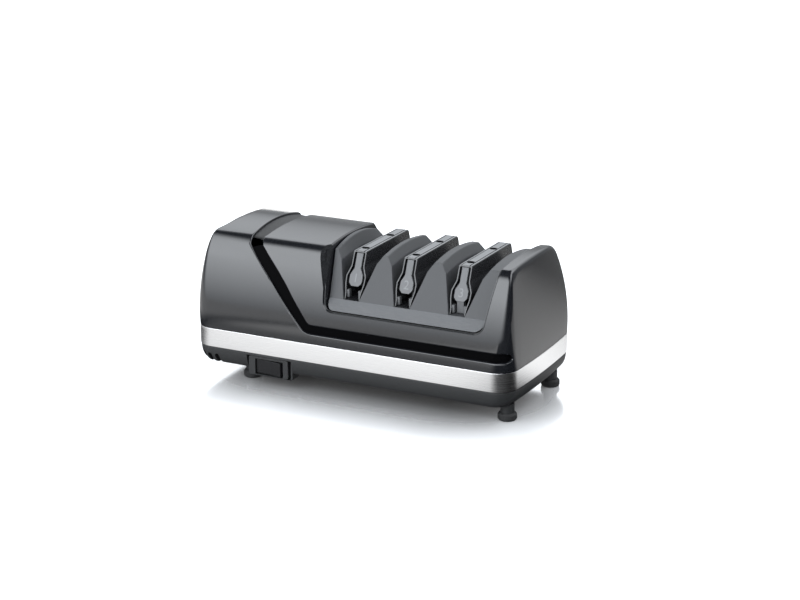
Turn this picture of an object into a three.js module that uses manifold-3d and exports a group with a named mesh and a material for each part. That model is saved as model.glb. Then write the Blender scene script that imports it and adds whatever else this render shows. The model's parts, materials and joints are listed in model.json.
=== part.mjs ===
// Electric knife sharpener with three stages, in millimetres.
// +X runs along the body to the right, the front faces -Y, +Z is up and the feet stand on z = 0.
import * as THREE from "three";
import { LoftGeometry } from "three/addons/geometries/LoftGeometry.js";
import { ConvexGeometry } from "three/addons/geometries/ConvexGeometry.js";
import { mergeVertices } from "three/addons/utils/BufferGeometryUtils.js";
import Module from "manifold-3d";

const wasm = await Module();
wasm.setup();

// General clearances
const gap = 0.3;
const overrun = 5;
const mergeTolerance = 1e-4;

// Body: a brushed band between a low base and a tall leaning housing
const bandLength = 285;
const bandDepth = 129.7;
const bandHeight = 15.4;
const bandThickness = 1.2;
const bandCornerRadius = 12;
const standHeight = 13.8;
const baseHeight = 14;
const wall = 2.5;
const floorThickness = 2.5;
const housingRise = 75.3;
const topDepth = 85.6;
const leftEndLean = 5.5;
const rightEndLean = 8.5;
const topCornerRadius = 3;
const endBow = 2.5;
const topEdgeRadius = 5;
const leftTopRadius = 16;
const motorCrown = 6.2;
const guideCrown = 3.5;
const leanPowerShare = 2;

// Base: edges that round inwards under the band
const baseSideTaper = 8;
const baseEndTaper = 10;
const baseTopInset = 0.4;

// Groove that crosses the top and runs down the front and back walls to the right corners
const grooveWidth = 10.6;
const grooveDepth = 1.8;
const grooveTopInset = 50.5;
const grooveEdgeWidth = 14;
const grooveBendRun = 26.8;
const grooveBendRise = 46.6;
const grooveBendWidth = 11.5;
const grooveTurnRun = 33.2;
const grooveLowRise = 8.1;
const grooveLowWidth = 7.5;
const grooveOuterRadius = 14;
const grooveInnerRadius = 7;
const grooveEndInset = 5.5;

// Stages: two equal valleys and a wider last one, each with a slot floor and two blade flanks
const lastStageInset = 52.4;
const stagePitch = 44.5;
const lastStagePitch = 47;
const slotFloorRise = 52.5;
const slotHalfWidth = 6.8;
const flankHeight = 28;
const flankAngle = 17.2;
const chamferHeight = 7;
const chamferWidth = 4.9;
const ridgeCrown = 3.4;

// Window in the housing that the guide block fills
const windowFloorRise = 28.5;
const windowLeftReach = 24.1;
const windowLeftLean = 7.9;
const windowRightReach = 31.5;
const windowRightLean = 6.2;
const windowCornerRadius = 8;
const facetWidth = 7.5;
const facetDrop = 2.5;
const facetLedge = 1.5;
const facetHalfDepth = 36;
const facetFootRise = 48.7;
const facetFootRun = 6.1;

// Guide block: lip panel, leaning ends and skirt
const lipTopHalfDepth = 52;
const ridgeTopHalfDepth = 34.5;
const blockWall = 2.5;
const skirtDrop = 5.5;
const discWindowMargin = 1.6;

// Spring guides and their spines
const guideTopRise = 36.6;
const guideTopHalf = 5.3;
const guideNeckRise = 27.5;
const guideNeckHalf = 5.5;
const guideShoulderRise = 19.8;
const guideShoulderHalf = 8.8;
const guideBellyRise = 12;
const guideBellyHalf = 8.6;
const guideAnkleRise = 5;
const guideAnkleHalf = 6.9;
const guideFootHalf = 6.5;
const guideSheet = 1;
const guideTopHalfDepth = 35;
const guideFootHalfDepth = 50.5;
const guideRearRadius = 7;
const guideNotchRadius = 1.9;
const guideNotchInset = 8;
const legWindowRise = 5.4;
const spineNeckHalf = 2.5;
const spineBulbHalf = 5.7;
const spineBulbRise = 18.6;
const spineBellyRise = 13.6;
const spineFootHalf = 3.4;
const spineFootRise = 10;
const postHalfWidth = 3;
const postDepth = 5;
const postSetbacks = [18, 18, 1.5];

// Shaft, sharpening discs and their drive
const shaftRadius = 3;
const shaftStub = 1.5;
const discRadius = 24;
const discRise = 3.7;
const discThickness = 2.2;
const discCone = 1;
const discFaceOffset = 6.4;
const discHubRadius = 7;
const discHubLength = 3.2;
const pinRadius = 1;
const pinLength = 12;
const springWire = 0.9;
const springCurls = 3;
const springMeanRadius = 4.4;

// Motor
const motorSlackShare = 0.42;
const stackLength = 28;
const stackFront = 27;
const stackHalfHeight = 27;
const limbShare = 0.61;
const limbWindowHalf = 16;
const boreRadius = 17.5;
const rotorAirGap = 0.5;
const rotorOverhang = 2;
const coilBuild = 6;
const coilWallGap = 2.2;
const coilCornerRadius = 3;
const bracketReach = 14;
const bracketSheet = 3;
const bracketHalfHeight = 8;
const bearingRadius = 5;
const bearingSeatWall = 3;
const bearingLength = 7;
const boltInset = 6.2;
const boltRadius = 1.5;
const boltHeadRadius = 2.7;
const boltHeadHeight = 2;
const fanRadius = 28;
const fanHubRadius = 8;
const fanLength = 10;
const fanBlades = 7;
const fanBladeThickness = 1.6;
const fanBladeTwist = 32;
const fanGap = 7;
const supportReach = 13.9;
const supportThickness = 6;
const supportFootHalf = 20;
const supportHeadRadius = 9;
const supportRibHeight = 8;

// Rocker switch
const switchInset = 71.5;
const switchZ = 16.3;
const bezelLeft = 19.5;
const bezelRight = 18.4;
const bezelHeight = 15.8;
const bezelDrop = 6.7;
const bezelFrontInset = 2;
const bezelDepth = 12.5;
const bezelCornerRadius = 2;
const rockerHalfLength = 11.9;
const rockerHeight = 11.7;
const rockerFace = 5.6;
const rockerDish = 1.2;
const rockerBack = 2.5;
const rockerTilt = 7;
const rockerPlay = 0.95;
const rockerPivotDepth = 5.4;
const trunnionRadius = 1.2;
const trunnionLength = 1.2;
const switchBodyHalfLength = 12;
const switchBodyDepth = 14;
const switchBodyTopZ = 26;

// Feet, screws, vents, hatch and cord gland
const rightFootInset = 12;
const leftFootInset = 45.1;
const footDepthInset = 21.25;
const stemRadius = 5.6;
const spigotRadius = 3.6;
const spigotReach = 1;
const footRadius = 7.6;
const footHeight = 6.4;
const footLipRadius = 1.2;
const footSole = 2.2;
const screwRightInset = 24.5;
const screwLeftInset = 30.5;
const screwDepthInset = 13.85;
const screwBossRadius = 4.6;
const screwRadius = 1.5;
const screwHeadRadius = 2.9;
const screwHeadHeight = 2;
const screwRecess = 4;
const screwLength = 42;
const housingBossLength = 22;
const ventWidth = 2.4;
const ventLength = 8;
const ventReach = 22;
const ventPitch = 6.75;
const ventSlant = 24;
const firstVentInset = 10.5;
const ventCount = 3;
const ventZ = 17.2;
const hatchLength = 52;
const hatchWidth = 36;
const hatchFlange = 1;
const hatchLedge = 2.2;
const hatchPlug = 2.6;
const hatchGripRadius = 6;
const hatchGripDepth = 0.6;
const magnetLength = 24;
const magnetWidth = 12;
const magnetHeight = 3;
const glandInset = 58.5;
const glandZ = 21.7;
const glandRadius = 4.4;
const glandFlangeRadius = 5.8;
const glandFlange = 0.9;
const glandBore = 3.2;
const glandBossRadius = 6.2;
const glandBossDepth = 13;
const glandCollar = 2.4;
const leadRadius = 1.6;

// Smoothness counts
const roundSteps = 4;
const crownSteps = 6;
const wallLevels = 6;
const discSegments = 20;
const smallSegments = 14;
const plainSegments = 8;
const coilSteps = 6;
const springSides = 5;
const leadSides = 6;
const leadSteps = 10;

// Levels worked out from the sizes above
const baseZ = standHeight;
const bandZ = baseZ + baseHeight;
const bandTopZ = bandZ + bandHeight;
const housingZ = bandTopZ + gap;
const edgeZ = bandTopZ + housingRise;
const slotFloorZ = bandZ + slotFloorRise;
const windowFloorZ = bandTopZ + windowFloorRise;
const shaftHeight = slotFloorZ + discRise - discRadius;
const baseFloorZ = baseZ + floorThickness;
const ridgeTopZ = slotFloorZ + flankHeight + chamferHeight;
const flankRun = flankHeight * Math.tan(THREE.MathUtils.degToRad(flankAngle));

// Places along the body, counted from its left end or its right end
const leftEndX = -bandLength / 2;
const rightEndX = bandLength / 2;
const lastStageX = rightEndX - lastStageInset;
const firstStageX = lastStageX - lastStagePitch - stagePitch;
const stageXs = [firstStageX, firstStageX + stagePitch, lastStageX];
const windowLeftTopX = firstStageX - windowLeftReach;
const windowLeftLowX = windowLeftTopX + windowLeftLean;
const windowRightTopX = lastStageX + windowRightReach;
const windowRightLowX = windowRightTopX - windowRightLean;
const grooveTopX = leftEndX + grooveTopInset;
const grooveBendX = grooveTopX + grooveBendRun;
const grooveTurnX = grooveBendX + grooveTurnRun;
const switchX = leftEndX + switchInset;
const glandX = leftEndX + glandInset;
const hatchX = (firstStageX + lastStageX) / 2;
const supportX = lastStageX + supportReach;
const footHalfDepth = bandDepth / 2 - footDepthInset;
const screwHalfDepth = bandDepth / 2 - screwDepthInset;

// Motor: the room between the left end and the first disc is shared on both sides of it
const motorRoomLeft = leftEndX + endBow + wall;
const motorRoomRight = firstStageX - discFaceOffset - discHubLength;
const motorLength = fanLength + fanGap + 2 * bracketReach + stackLength;
const fanLeftX = motorRoomLeft + motorSlackShare * (motorRoomRight - motorRoomLeft - motorLength);
const fanX = fanLeftX + fanLength / 2;
const stackLeftX = fanLeftX + fanLength + fanGap + bracketReach;
const stackRightX = stackLeftX + stackLength;
const stackRear = housingHalf(shaftHeight + limbWindowHalf) - wall - coilWallGap - coilBuild;
const limbDepth = limbShare * (stackRear - stackFront);
const limbWindowDepth = stackRear - stackFront - limbDepth;

// Materials
const finish = {
  gloss: { color: 0x08090b, roughness: 0.12, metalness: 0 },
  steel: { color: 0xdadde0, roughness: 0.32, metalness: 1 },
  base: { color: 0x232527, roughness: 0.7, metalness: 0 },
  guide: { color: 0x55585c, roughness: 0.5, metalness: 0 },
  spine: { color: 0x7d8084, roughness: 0.45, metalness: 0 },
  sleeve: { color: 0x1b1d20, roughness: 0.25, metalness: 0 },
  rubber: { color: 0x111213, roughness: 0.85, metalness: 0 },
  iron: { color: 0x8b8f94, roughness: 0.5, metalness: 1 },
  copper: { color: 0xb06a3a, roughness: 0.4, metalness: 1 },
  bronze: { color: 0x9a7440, roughness: 0.45, metalness: 1 },
  abrasive: { color: 0x9a9c9e, roughness: 0.8, metalness: 0.4 },
  nylon: { color: 0xc9c6bd, roughness: 0.6, metalness: 0 },
  lead: { color: 0x2b2d30, roughness: 0.6, metalness: 0 },
};

const root = new THREE.Group();

// A geometry as a solid that can be joined and cut
function solidOf(geometry) {
  const plain = new THREE.BufferGeometry().copy(geometry);
  plain.deleteAttribute("normal");
  plain.deleteAttribute("uv");
  const merged = mergeVertices(plain, mergeTolerance);
  return new wasm.Manifold(
    new wasm.Mesh({
      numProp: 3,
      vertProperties: new Float32Array(merged.attributes.position.array),
      triVerts: new Uint32Array(merged.index.array),
    }),
  );
}

function joined(...solids) {
  return solids.reduce((sum, solid) => sum.add(solid));
}

function cutBy(solid, ...tools) {
  return tools.reduce((rest, tool) => rest.subtract(tool), solid);
}

function addPart(name, solid, look) {
  const made = solid.getMesh();
  const geometry = new THREE.BufferGeometry();
  geometry.setAttribute("position", new THREE.BufferAttribute(made.vertProperties, made.numProp));
  geometry.setIndex(new THREE.BufferAttribute(made.triVerts, 1));
  const faceted = geometry.toNonIndexed();
  faceted.computeVertexNormals();
  const mesh = new THREE.Mesh(faceted, new THREE.MeshStandardMaterial(finish[look]));
  mesh.name = name;
  root.add(mesh);
}

// A closed outline from corners [x, y, radius], with an arc at each rounded corner
function outline(corners) {
  const points = [];
  corners.forEach(([x, y, radius = 0], index) => {
    const here = new THREE.Vector2(x, y);
    if (radius === 0) {
      points.push(here);
      return;
    }
    const before = corners.at(index - 1);
    const after = corners[(index + 1) % corners.length];
    const back = new THREE.Vector2(before[0], before[1]).sub(here).normalize();
    const ahead = new THREE.Vector2(after[0], after[1]).sub(here).normalize();
    const half = Math.acos(THREE.MathUtils.clamp(back.dot(ahead), -1, 1)) / 2;
    const middle = back.clone().add(ahead).normalize().multiplyScalar(radius / Math.sin(half)).add(here);
    const start = back.clone().multiplyScalar(radius / Math.tan(half)).add(here).sub(middle);
    const end = ahead.clone().multiplyScalar(radius / Math.tan(half)).add(here).sub(middle);
    const turn = Math.atan2(start.cross(end), start.dot(end));
    for (let step = 0; step <= roundSteps; step += 1) {
      const spot = start.clone().rotateAround(new THREE.Vector2(), (turn * step) / roundSteps);
      points.push(spot.add(middle));
    }
  });
  return new THREE.Shape(points);
}

function rectangle(low, high, radius = 0) {
  return outline([
    [low[0], low[1], radius],
    [high[0], low[1], radius],
    [high[0], high[1], radius],
    [low[0], high[1], radius],
  ]);
}

function extruded(shape, depth) {
  return new THREE.ExtrudeGeometry(shape, { depth, bevelEnabled: false, curveSegments: plainSegments });
}

// An outline in (y, z) carried along X from one place to another
function alongX(shape, from, to) {
  const axes = new THREE.Matrix4().makeBasis(
    new THREE.Vector3(0, 1, 0),
    new THREE.Vector3(0, 0, 1),
    new THREE.Vector3(1, 0, 0),
  );
  return solidOf(extruded(shape, to - from).applyMatrix4(axes).translate(from, 0, 0));
}

// An outline in (x, z) carried along Y
function alongY(shape, from, to) {
  return solidOf(extruded(shape, to - from).rotateX(Math.PI / 2).translate(0, to, 0));
}

// An outline in (x, y) carried along Z
function alongZ(shape, from, to) {
  return solidOf(extruded(shape, to - from).translate(0, 0, from));
}

function box(low, high) {
  const size = high.map((value, axis) => value - low[axis]);
  const middle = high.map((value, axis) => (value + low[axis]) / 2);
  return solidOf(new THREE.BoxGeometry(...size).translate(...middle));
}

// Turns a geometry made along Y so that it runs along another axis
function aimed(geometry, axis) {
  if (axis === "x") geometry.rotateZ(-Math.PI / 2);
  if (axis === "z") geometry.rotateX(Math.PI / 2);
  return geometry;
}

function cylinder(axis, radius, from, to, place, segments = smallSegments) {
  const geometry = new THREE.CylinderGeometry(radius, radius, to - from, segments);
  geometry.translate(0, (from + to) / 2, 0);
  return solidOf(aimed(geometry, axis).translate(...place));
}

// A closed profile of [radius, place] turned about an axis, listed counterclockwise
function turned(axis, profile, place, segments = smallSegments) {
  const points = profile.map(([radius, along]) => new THREE.Vector2(radius, along));
  points.push(points[0].clone());
  const geometry = new THREE.LatheGeometry(points, segments);
  return solidOf(aimed(geometry, axis).translate(...place));
}

// A ring in plan with rounded corners and ends that bow outwards
function planRing(z, left, right, half, radius, bow) {
  const points = [];
  const corners = [
    [right - radius, half - radius, 0],
    [left + radius, half - radius, 1],
    [left + radius, radius - half, 2],
    [right - radius, radius - half, 3],
  ];
  const straight = (x, sign) => {
    for (let step = 1; step < roundSteps; step += 1) {
      points.push([x, sign * (half - radius) * (1 - (2 * step) / roundSteps)]);
    }
  };
  corners.forEach(([x, y, quarter]) => {
    for (let step = 0; step <= roundSteps; step += 1) {
      const angle = ((quarter + step / roundSteps) * Math.PI) / 2;
      points.push([x + radius * Math.cos(angle), y + radius * Math.sin(angle)]);
    }
    if (quarter === 1) straight(left, 1);
    if (quarter === 3) straight(right, -1);
  });
  return points.map(([x, y]) => {
    const outward = x > (left + right) / 2 ? bow : -bow;
    return new THREE.Vector3(x + outward * (1 - (y / half) ** 2), y, z);
  });
}

function lofted(rings) {
  return solidOf(new LoftGeometry(rings, { capStart: true, capEnd: true }));
}

// Housing walls: vertical at the band and leaning further in towards the top
function leanShare(z) {
  return Math.max(0, (z - bandTopZ) / housingRise) ** leanPowerShare;
}

function housingHalf(z) {
  return bandDepth / 2 - ((bandDepth - topDepth) / 2) * leanShare(z);
}

function housingRing(z, inset) {
  const share = leanShare(z);
  const left = -bandLength / 2 + endBow + leftEndLean * share + inset;
  const right = bandLength / 2 - endBow - rightEndLean * share - inset;
  const radius = THREE.MathUtils.lerp(bandCornerRadius, topCornerRadius, Math.min(1, share));
  const rounding = Math.max(radius - inset, inset / 2 + gap);
  return planRing(z, left, right, housingHalf(z) - inset, rounding, endBow);
}

function housingBody(inset, lowZ, highZ) {
  const rings = [];
  for (let level = 0; level <= wallLevels; level += 1) {
    rings.push(housingRing(THREE.MathUtils.lerp(lowZ, highZ, level / wallLevels), inset));
  }
  return lofted(rings);
}

// Roof: a crowned profile that closes the housing above its long edges
function roofRing(x, crown, inset) {
  const half = topDepth / 2 - inset;
  const points = [];
  for (let step = 0; step <= 2 * crownSteps; step += 1) {
    const y = half * (1 - step / crownSteps);
    points.push([y, edgeZ - inset + crown * (1 - (y / half) ** 2)]);
  }
  points[0][2] = topEdgeRadius - inset / 2;
  points.at(-1)[2] = topEdgeRadius - inset / 2;
  const wide = bandDepth / 2 + overrun;
  const slope = (bandDepth - topDepth) / housingRise;
  const dropped = edgeZ - inset - (wide - half) / slope;
  const below = baseZ;
  const corners = [[wide, below], [wide, dropped], ...points, [-wide, dropped], [-wide, below]];
  return outline(corners).getPoints().map((point) => new THREE.Vector3(x, point.x, point.y));
}

// Outer housing form: the leaning walls under a higher crown over the motor and a lower one beyond
function housingForm(inset, lowZ) {
  const walls = housingBody(inset, lowZ, edgeZ + motorCrown + overrun);
  const far = bandLength / 2 + overrun;
  const stepX = grooveTopX - grooveWidth / 2 + gap - inset;
  const roof = lofted([
    roofRing(-far, motorCrown, inset),
    roofRing(stepX, motorCrown, inset),
    roofRing(stepX + gap, guideCrown, inset),
    roofRing(far, guideCrown, inset),
  ]);
  return walls.intersect(roof).intersect(leftTopRounding(inset, lowZ));
}

// Everything below a round that runs from the roof into the leaning left end
function leftTopRounding(inset, lowZ) {
  const far = bandLength / 2 + overrun;
  const topZ = edgeZ + motorCrown - inset;
  const lean = (leanPowerShare * leftEndLean) / housingRise;
  const topX = leftEndLean - bandLength / 2 + inset - gap + lean * motorCrown;
  return alongY(outline([
    [topX, topZ + gap, leftTopRadius - inset],
    [-far, topZ - (far + topX) / lean],
    [-far, lowZ - overrun],
    [far, lowZ - overrun],
    [far, topZ + gap],
  ]), -bandDepth, bandDepth);
}

// Groove: the skin of the walls and roof within a band that bends twice
function housingGroove() {
  const skin = housingForm(-overrun, baseZ).subtract(housingForm(grooveDepth, baseZ));
  const high = edgeZ + motorCrown + overrun;
  const low = edgeZ - topEdgeRadius;
  const bendZ = bandTopZ + grooveBendRise;
  const lowZ = bandTopZ + grooveLowRise;
  const highLineZ = lowZ + grooveLowWidth;
  const across = grooveTurnX - grooveLowWidth;
  const band = outline([
    [grooveTopX - grooveWidth / 2, high],
    [grooveTopX - grooveWidth / 2, edgeZ],
    [grooveTopX - grooveEdgeWidth / 2, low],
    [grooveBendX - grooveBendWidth / 2, bendZ],
    [across, lowZ, grooveOuterRadius],
    [rightEndX - grooveEndInset, lowZ],
    [rightEndX - grooveEndInset, highLineZ],
    [grooveTurnX, highLineZ, grooveInnerRadius],
    [grooveBendX + grooveBendWidth / 2, bendZ],
    [grooveTopX + grooveEdgeWidth / 2, low],
    [grooveTopX + grooveWidth / 2, edgeZ],
    [grooveTopX + grooveWidth / 2, high],
  ]);
  return skin.intersect(alongY(band, -bandDepth, bandDepth));
}

// Window outline in (x, z), grown outwards by a margin
function windowOutline(margin, highZ) {
  const slopeLeft = (windowLeftTopX - windowLeftLowX) / (edgeZ - windowFloorZ);
  const slopeRight = (windowRightTopX - windowRightLowX) / (edgeZ - windowFloorZ);
  const floor = windowFloorZ - margin;
  const left = (z) => windowLeftLowX + slopeLeft * (z - windowFloorZ) - margin;
  const right = (z) => windowRightLowX + slopeRight * (z - windowFloorZ) + margin;
  const radius = windowCornerRadius + margin;
  return outline([
    [left(floor), floor, radius],
    [right(floor), floor, radius],
    [right(highZ), highZ],
    [left(highZ), highZ],
  ]);
}

// Corners of the slanted facet between the window's left edge and the guide block, moved outwards
function facetCorners(side, out) {
  const footZ = bandZ + facetFootRise;
  return [
    new THREE.Vector3(windowLeftTopX + facetFootRun, side * housingHalf(footZ), footZ),
    new THREE.Vector3(windowLeftTopX + gap, side * facetHalfDepth, edgeZ - facetLedge),
    new THREE.Vector3(windowLeftTopX - facetWidth, (side * topDepth) / 2, edgeZ - facetDrop),
  ].map((corner) => corner.add(new THREE.Vector3(out, side * out, 0)));
}

function facetWall(side) {
  return solidOf(new ConvexGeometry([...facetCorners(side, gap), ...facetCorners(side, -wall)]));
}

function facetCut(side) {
  const corners = facetCorners(side, 0);
  const forward = corners.map((corner) => corner.clone().setY(side * bandDepth));
  return solidOf(new ConvexGeometry([...corners, ...forward]));
}

function upperHousing() {
  const form = housingForm(0, housingZ);
  const high = edgeZ + motorCrown + overrun;
  const window = alongY(windowOutline(0, high), -bandDepth, bandDepth);
  const underWindow = box(
    [windowLeftLowX, -bandDepth, baseZ - overrun],
    [windowRightLowX, bandDepth, windowFloorZ + windowCornerRadius],
  );
  const sideWalls = alongY(windowOutline(wall, high), -bandDepth, bandDepth).subtract(underWindow);
  const boreTop = baseZ + screwRecess + screwLength;
  const bosses = screwPlaces().map(([x, y]) => housingBoss(x, y));
  const bores = screwPlaces().map(([x, y]) =>
    cylinder("z", screwRadius + gap, housingZ - overrun, boreTop, [x, y, 0], plainSegments));
  const hollow = cutBy(housingForm(wall, baseZ), sideWalls, ...[-1, 1].map(facetWall), ...bosses);
  const shell = form.subtract(hollow);
  const facets = [-1, 1].map(facetCut);
  addPart("upper_housing", cutBy(shell, window, ...facets, housingGroove(), ...bores), "gloss");
}

// Screw boss with a rib out to the nearest wall
function housingBoss(x, y) {
  const top = housingZ + housingBossLength;
  const rib = box(
    [x - wall / 2, Math.min(y, Math.sign(y) * bandDepth), baseZ - overrun],
    [x + wall / 2, Math.max(y, Math.sign(y) * bandDepth), top],
  );
  return cylinder("z", screwBossRadius, baseZ - overrun, top, [x, y, 0]).add(rib);
}

function screwPlaces() {
  return [
    [leftEndX + screwLeftInset, -screwHalfDepth],
    [leftEndX + screwLeftInset, screwHalfDepth],
    [rightEndX - screwRightInset, -screwHalfDepth],
    [rightEndX - screwRightInset, screwHalfDepth],
  ];
}

function plainRing(z, inset, depthInset) {
  const end = bandLength / 2 - endBow - inset;
  const radius = Math.max(bandCornerRadius - depthInset, wall);
  return planRing(z, -end, end, bandDepth / 2 - depthInset, radius, endBow);
}

function steelBand() {
  const outer = lofted([plainRing(bandZ, 0, 0), plainRing(bandTopZ, 0, 0)]);
  const inner = lofted([
    plainRing(bandZ - overrun, bandThickness, bandThickness),
    plainRing(bandTopZ + overrun, bandThickness, bandThickness),
  ]);
  addPart("steel_band", outer.subtract(inner), "steel");
}

// Base: side walls that round inwards to a flat bottom
function baseInset(z, taper) {
  const share = THREE.MathUtils.clamp((z - baseZ) / (baseHeight - gap), 0, 1);
  return baseTopInset + taper * (1 - Math.sqrt(1 - (1 - share) ** 2));
}

function baseForm(inset, lowZ, highZ) {
  const rings = [];
  for (let level = 0; level <= roundSteps; level += 1) {
    const z = THREE.MathUtils.lerp(lowZ, highZ, (level / roundSteps) ** 2);
    rings.push(plainRing(z, baseInset(z, baseEndTaper) + inset, baseInset(z, baseSideTaper) + inset));
  }
  return lofted(rings);
}

function baseTray() {
  const rimInset = bandThickness + gap;
  const shell = baseForm(0, baseZ, bandZ - gap);
  const rim = lofted([
    plainRing(bandZ - wall, rimInset, rimInset),
    plainRing(bandTopZ, rimInset, rimInset),
  ]);
  const hollow = joined(
    baseForm(wall, baseFloorZ, bandZ),
    lofted([
      plainRing(bandZ - gap, rimInset + wall, rimInset + wall),
      plainRing(bandTopZ + overrun, rimInset + wall, rimInset + wall),
    ]),
  );
  const inside = shell.add(rim);
  const standing = [...screwBosses(), ...motorRibs(), ...supportRibs(), glandBoss()];
  const spigotHoles = footPlaces().map(([x, y]) =>
    cylinder("z", spigotRadius + gap, baseZ - overrun, baseFloorZ + overrun, [x, y, 0], plainSegments));
  const body = inside.subtract(hollow).add(joined(...standing).intersect(inside.add(hollow)));
  const holes = [...screwHoles(), ...spigotHoles, ...vents(), switchHole(), hatchHole(), glandHole()];
  addPart("base_tray", cutBy(body, ...holes), "base");
}

function screwBosses() {
  return screwPlaces().map(([x, y]) => cylinder("z", screwBossRadius, baseZ, bandTopZ, [x, y, 0]));
}

function screwHoles() {
  return screwPlaces().map(([x, y]) => joined(
    cylinder("z", screwRadius + gap, baseZ - overrun, bandTopZ + overrun, [x, y, 0], plainSegments),
    cylinder("z", screwHeadRadius + gap, baseZ - overrun, baseZ + screwRecess, [x, y, 0]),
  ));
}

// Ribs on the tray floor that carry the motor's laminated stack
function motorRibs() {
  const top = shaftHeight - stackHalfHeight - gap;
  return [stackLeftX + wall, stackLeftX + stackLength - 2 * wall].map((x) =>
    box([x, wall - stackFront, baseZ], [x + wall, stackFront - wall, top]));
}

// Ribs that clasp the foot of the outer bearing's support
function supportRibs() {
  return [supportX - gap - wall, supportX + supportThickness + gap].map((x) =>
    box([x, -supportFootHalf, baseZ], [x + wall, supportFootHalf, baseFloorZ + supportRibHeight]));
}

function footPlaces() {
  return [
    [leftEndX + leftFootInset, -footHalfDepth],
    [leftEndX + leftFootInset, footHalfDepth],
    [rightEndX - rightFootInset, -footHalfDepth],
    [rightEndX - rightFootInset, footHalfDepth],
  ];
}

function vents() {
  const slots = [];
  for (let index = 0; index < ventCount; index += 1) {
    const slot = new THREE.BoxGeometry(ventWidth, ventReach, ventLength);
    slot.rotateY(THREE.MathUtils.degToRad(-ventSlant));
    const x = leftEndX + firstVentInset + index * ventPitch;
    slots.push(solidOf(slot.translate(x, -bandDepth / 2, ventZ)));
  }
  return slots;
}

// Rocker switch: a bezel let into the base's front wall, reaching a little below the base
const bezelFrontY = bezelFrontInset - bandDepth / 2;
const bezelBottomZ = switchZ - bezelDrop;
const bezelTopZ = bezelBottomZ + bezelHeight;
const rockerPivotY = bezelFrontY + rockerPivotDepth;
const bezelBackY = bezelFrontY + bezelDepth;

function switchHole() {
  return box(
    [switchX - bezelLeft - gap, -bandDepth, bezelBottomZ - overrun],
    [switchX + bezelRight + gap, bezelBackY + gap, bezelTopZ + gap],
  );
}

function switchBezel() {
  const block = alongY(
    rectangle(
      [switchX - bezelLeft, bezelBottomZ],
      [switchX + bezelRight, bezelTopZ],
      bezelCornerRadius,
    ),
    bezelFrontY,
    bezelBackY,
  );
  const halfLength = rockerHalfLength + rockerPlay;
  const halfHeight = rockerHeight / 2 + gap;
  const pocket = box(
    [switchX - halfLength, bezelFrontY - overrun, switchZ - halfHeight],
    [switchX + halfLength, rockerPivotY + rockerBack + rockerPlay + trunnionRadius, switchZ + halfHeight],
  );
  const reach = halfHeight + trunnionLength;
  const pivot = [switchX, rockerPivotY, switchZ];
  const hinge = cylinder("z", trunnionRadius + gap, -reach, reach, pivot, plainSegments);
  addPart("switch_bezel", cutBy(block, pocket, hinge), "base");
}

function switchRocker() {
  const shape = outline([
    [-rockerHalfLength, -rockerFace],
    [0, rockerDish - rockerFace],
    [rockerHalfLength, -rockerFace],
    [rockerHalfLength, rockerBack],
    [-rockerHalfLength, rockerBack],
  ]);
  const key = alongZ(shape, -rockerHeight / 2, rockerHeight / 2);
  const reach = rockerHeight / 2 + trunnionLength;
  const pins = cylinder("z", trunnionRadius, -reach, reach, [0, 0, 0], plainSegments);
  const turnedKey = key.add(pins).rotate([0, 0, -rockerTilt]);
  addPart("switch_rocker", turnedKey.translate([switchX, rockerPivotY, switchZ]), "base");
}

function switchBody() {
  const low = [switchX - switchBodyHalfLength, bezelBackY + gap, baseFloorZ + gap];
  const high = [switchX + switchBodyHalfLength, bezelBackY + gap + switchBodyDepth, switchBodyTopZ];
  addPart("switch_body", box(low, high), "lead");
}

// Clean-out hatch in the floor, with the magnet that gathers the filings
function hatchOutline(margin) {
  const halfLength = hatchLength / 2 + margin;
  const halfWidth = hatchWidth / 2 + margin;
  return rectangle([hatchX - halfLength, -halfWidth], [hatchX + halfLength, halfWidth], wall);
}

function hatchHole() {
  return joined(
    alongZ(hatchOutline(0), baseZ - overrun, baseZ + hatchFlange + gap),
    alongZ(hatchOutline(-hatchLedge), baseZ, baseFloorZ + overrun),
  );
}

function filingsHatch() {
  const plate = joined(
    alongZ(hatchOutline(-gap), baseZ, baseZ + hatchFlange),
    alongZ(hatchOutline(-hatchLedge - gap), baseZ, baseZ + hatchFlange + hatchPlug),
  );
  const gripX = hatchX + hatchLength / 2 - 2 * hatchGripRadius;
  const grip = cylinder("z", hatchGripRadius, -overrun, hatchGripDepth, [gripX, 0, baseZ]);
  addPart("filings_hatch", plate.subtract(grip), "base");
  const seat = baseZ + hatchFlange + hatchPlug + gap;
  addPart("filings_magnet", box(
    [hatchX - magnetLength / 2, -magnetWidth / 2, seat],
    [hatchX + magnetLength / 2, magnetWidth / 2, seat + magnetHeight],
  ), "iron");
}

// Cord gland: a bush in a boss of the back wall, open for the cord
const glandFaceY = bandDepth / 2 - glandFlange - gap;

function glandBoss() {
  return cylinder("y", glandBossRadius, glandFaceY - glandBossDepth, bandDepth / 2, [glandX, 0, glandZ]);
}

function glandHole() {
  const reach = bandDepth / 2 + overrun;
  return joined(
    cylinder("y", glandRadius + gap, glandFaceY - glandBossDepth - overrun, reach, [glandX, 0, glandZ]),
    cylinder("y", glandFlangeRadius + gap, glandFaceY, reach, [glandX, 0, glandZ]),
  );
}

function cordGland() {
  const inner = glandFaceY - glandBossDepth - gap;
  const profile = [
    [glandBore, inner - glandCollar],
    [glandRadius + gap + gap, inner - glandCollar],
    [glandRadius + gap + gap, inner],
    [glandRadius, inner],
    [glandRadius, glandFaceY + gap],
    [glandFlangeRadius, glandFaceY + gap],
    [glandFlangeRadius, glandFaceY + gap + glandFlange],
    [glandBore, glandFaceY + gap + glandFlange],
  ];
  addPart("cord_gland", turned("y", profile, [glandX, 0, glandZ]), "rubber");
}

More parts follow.
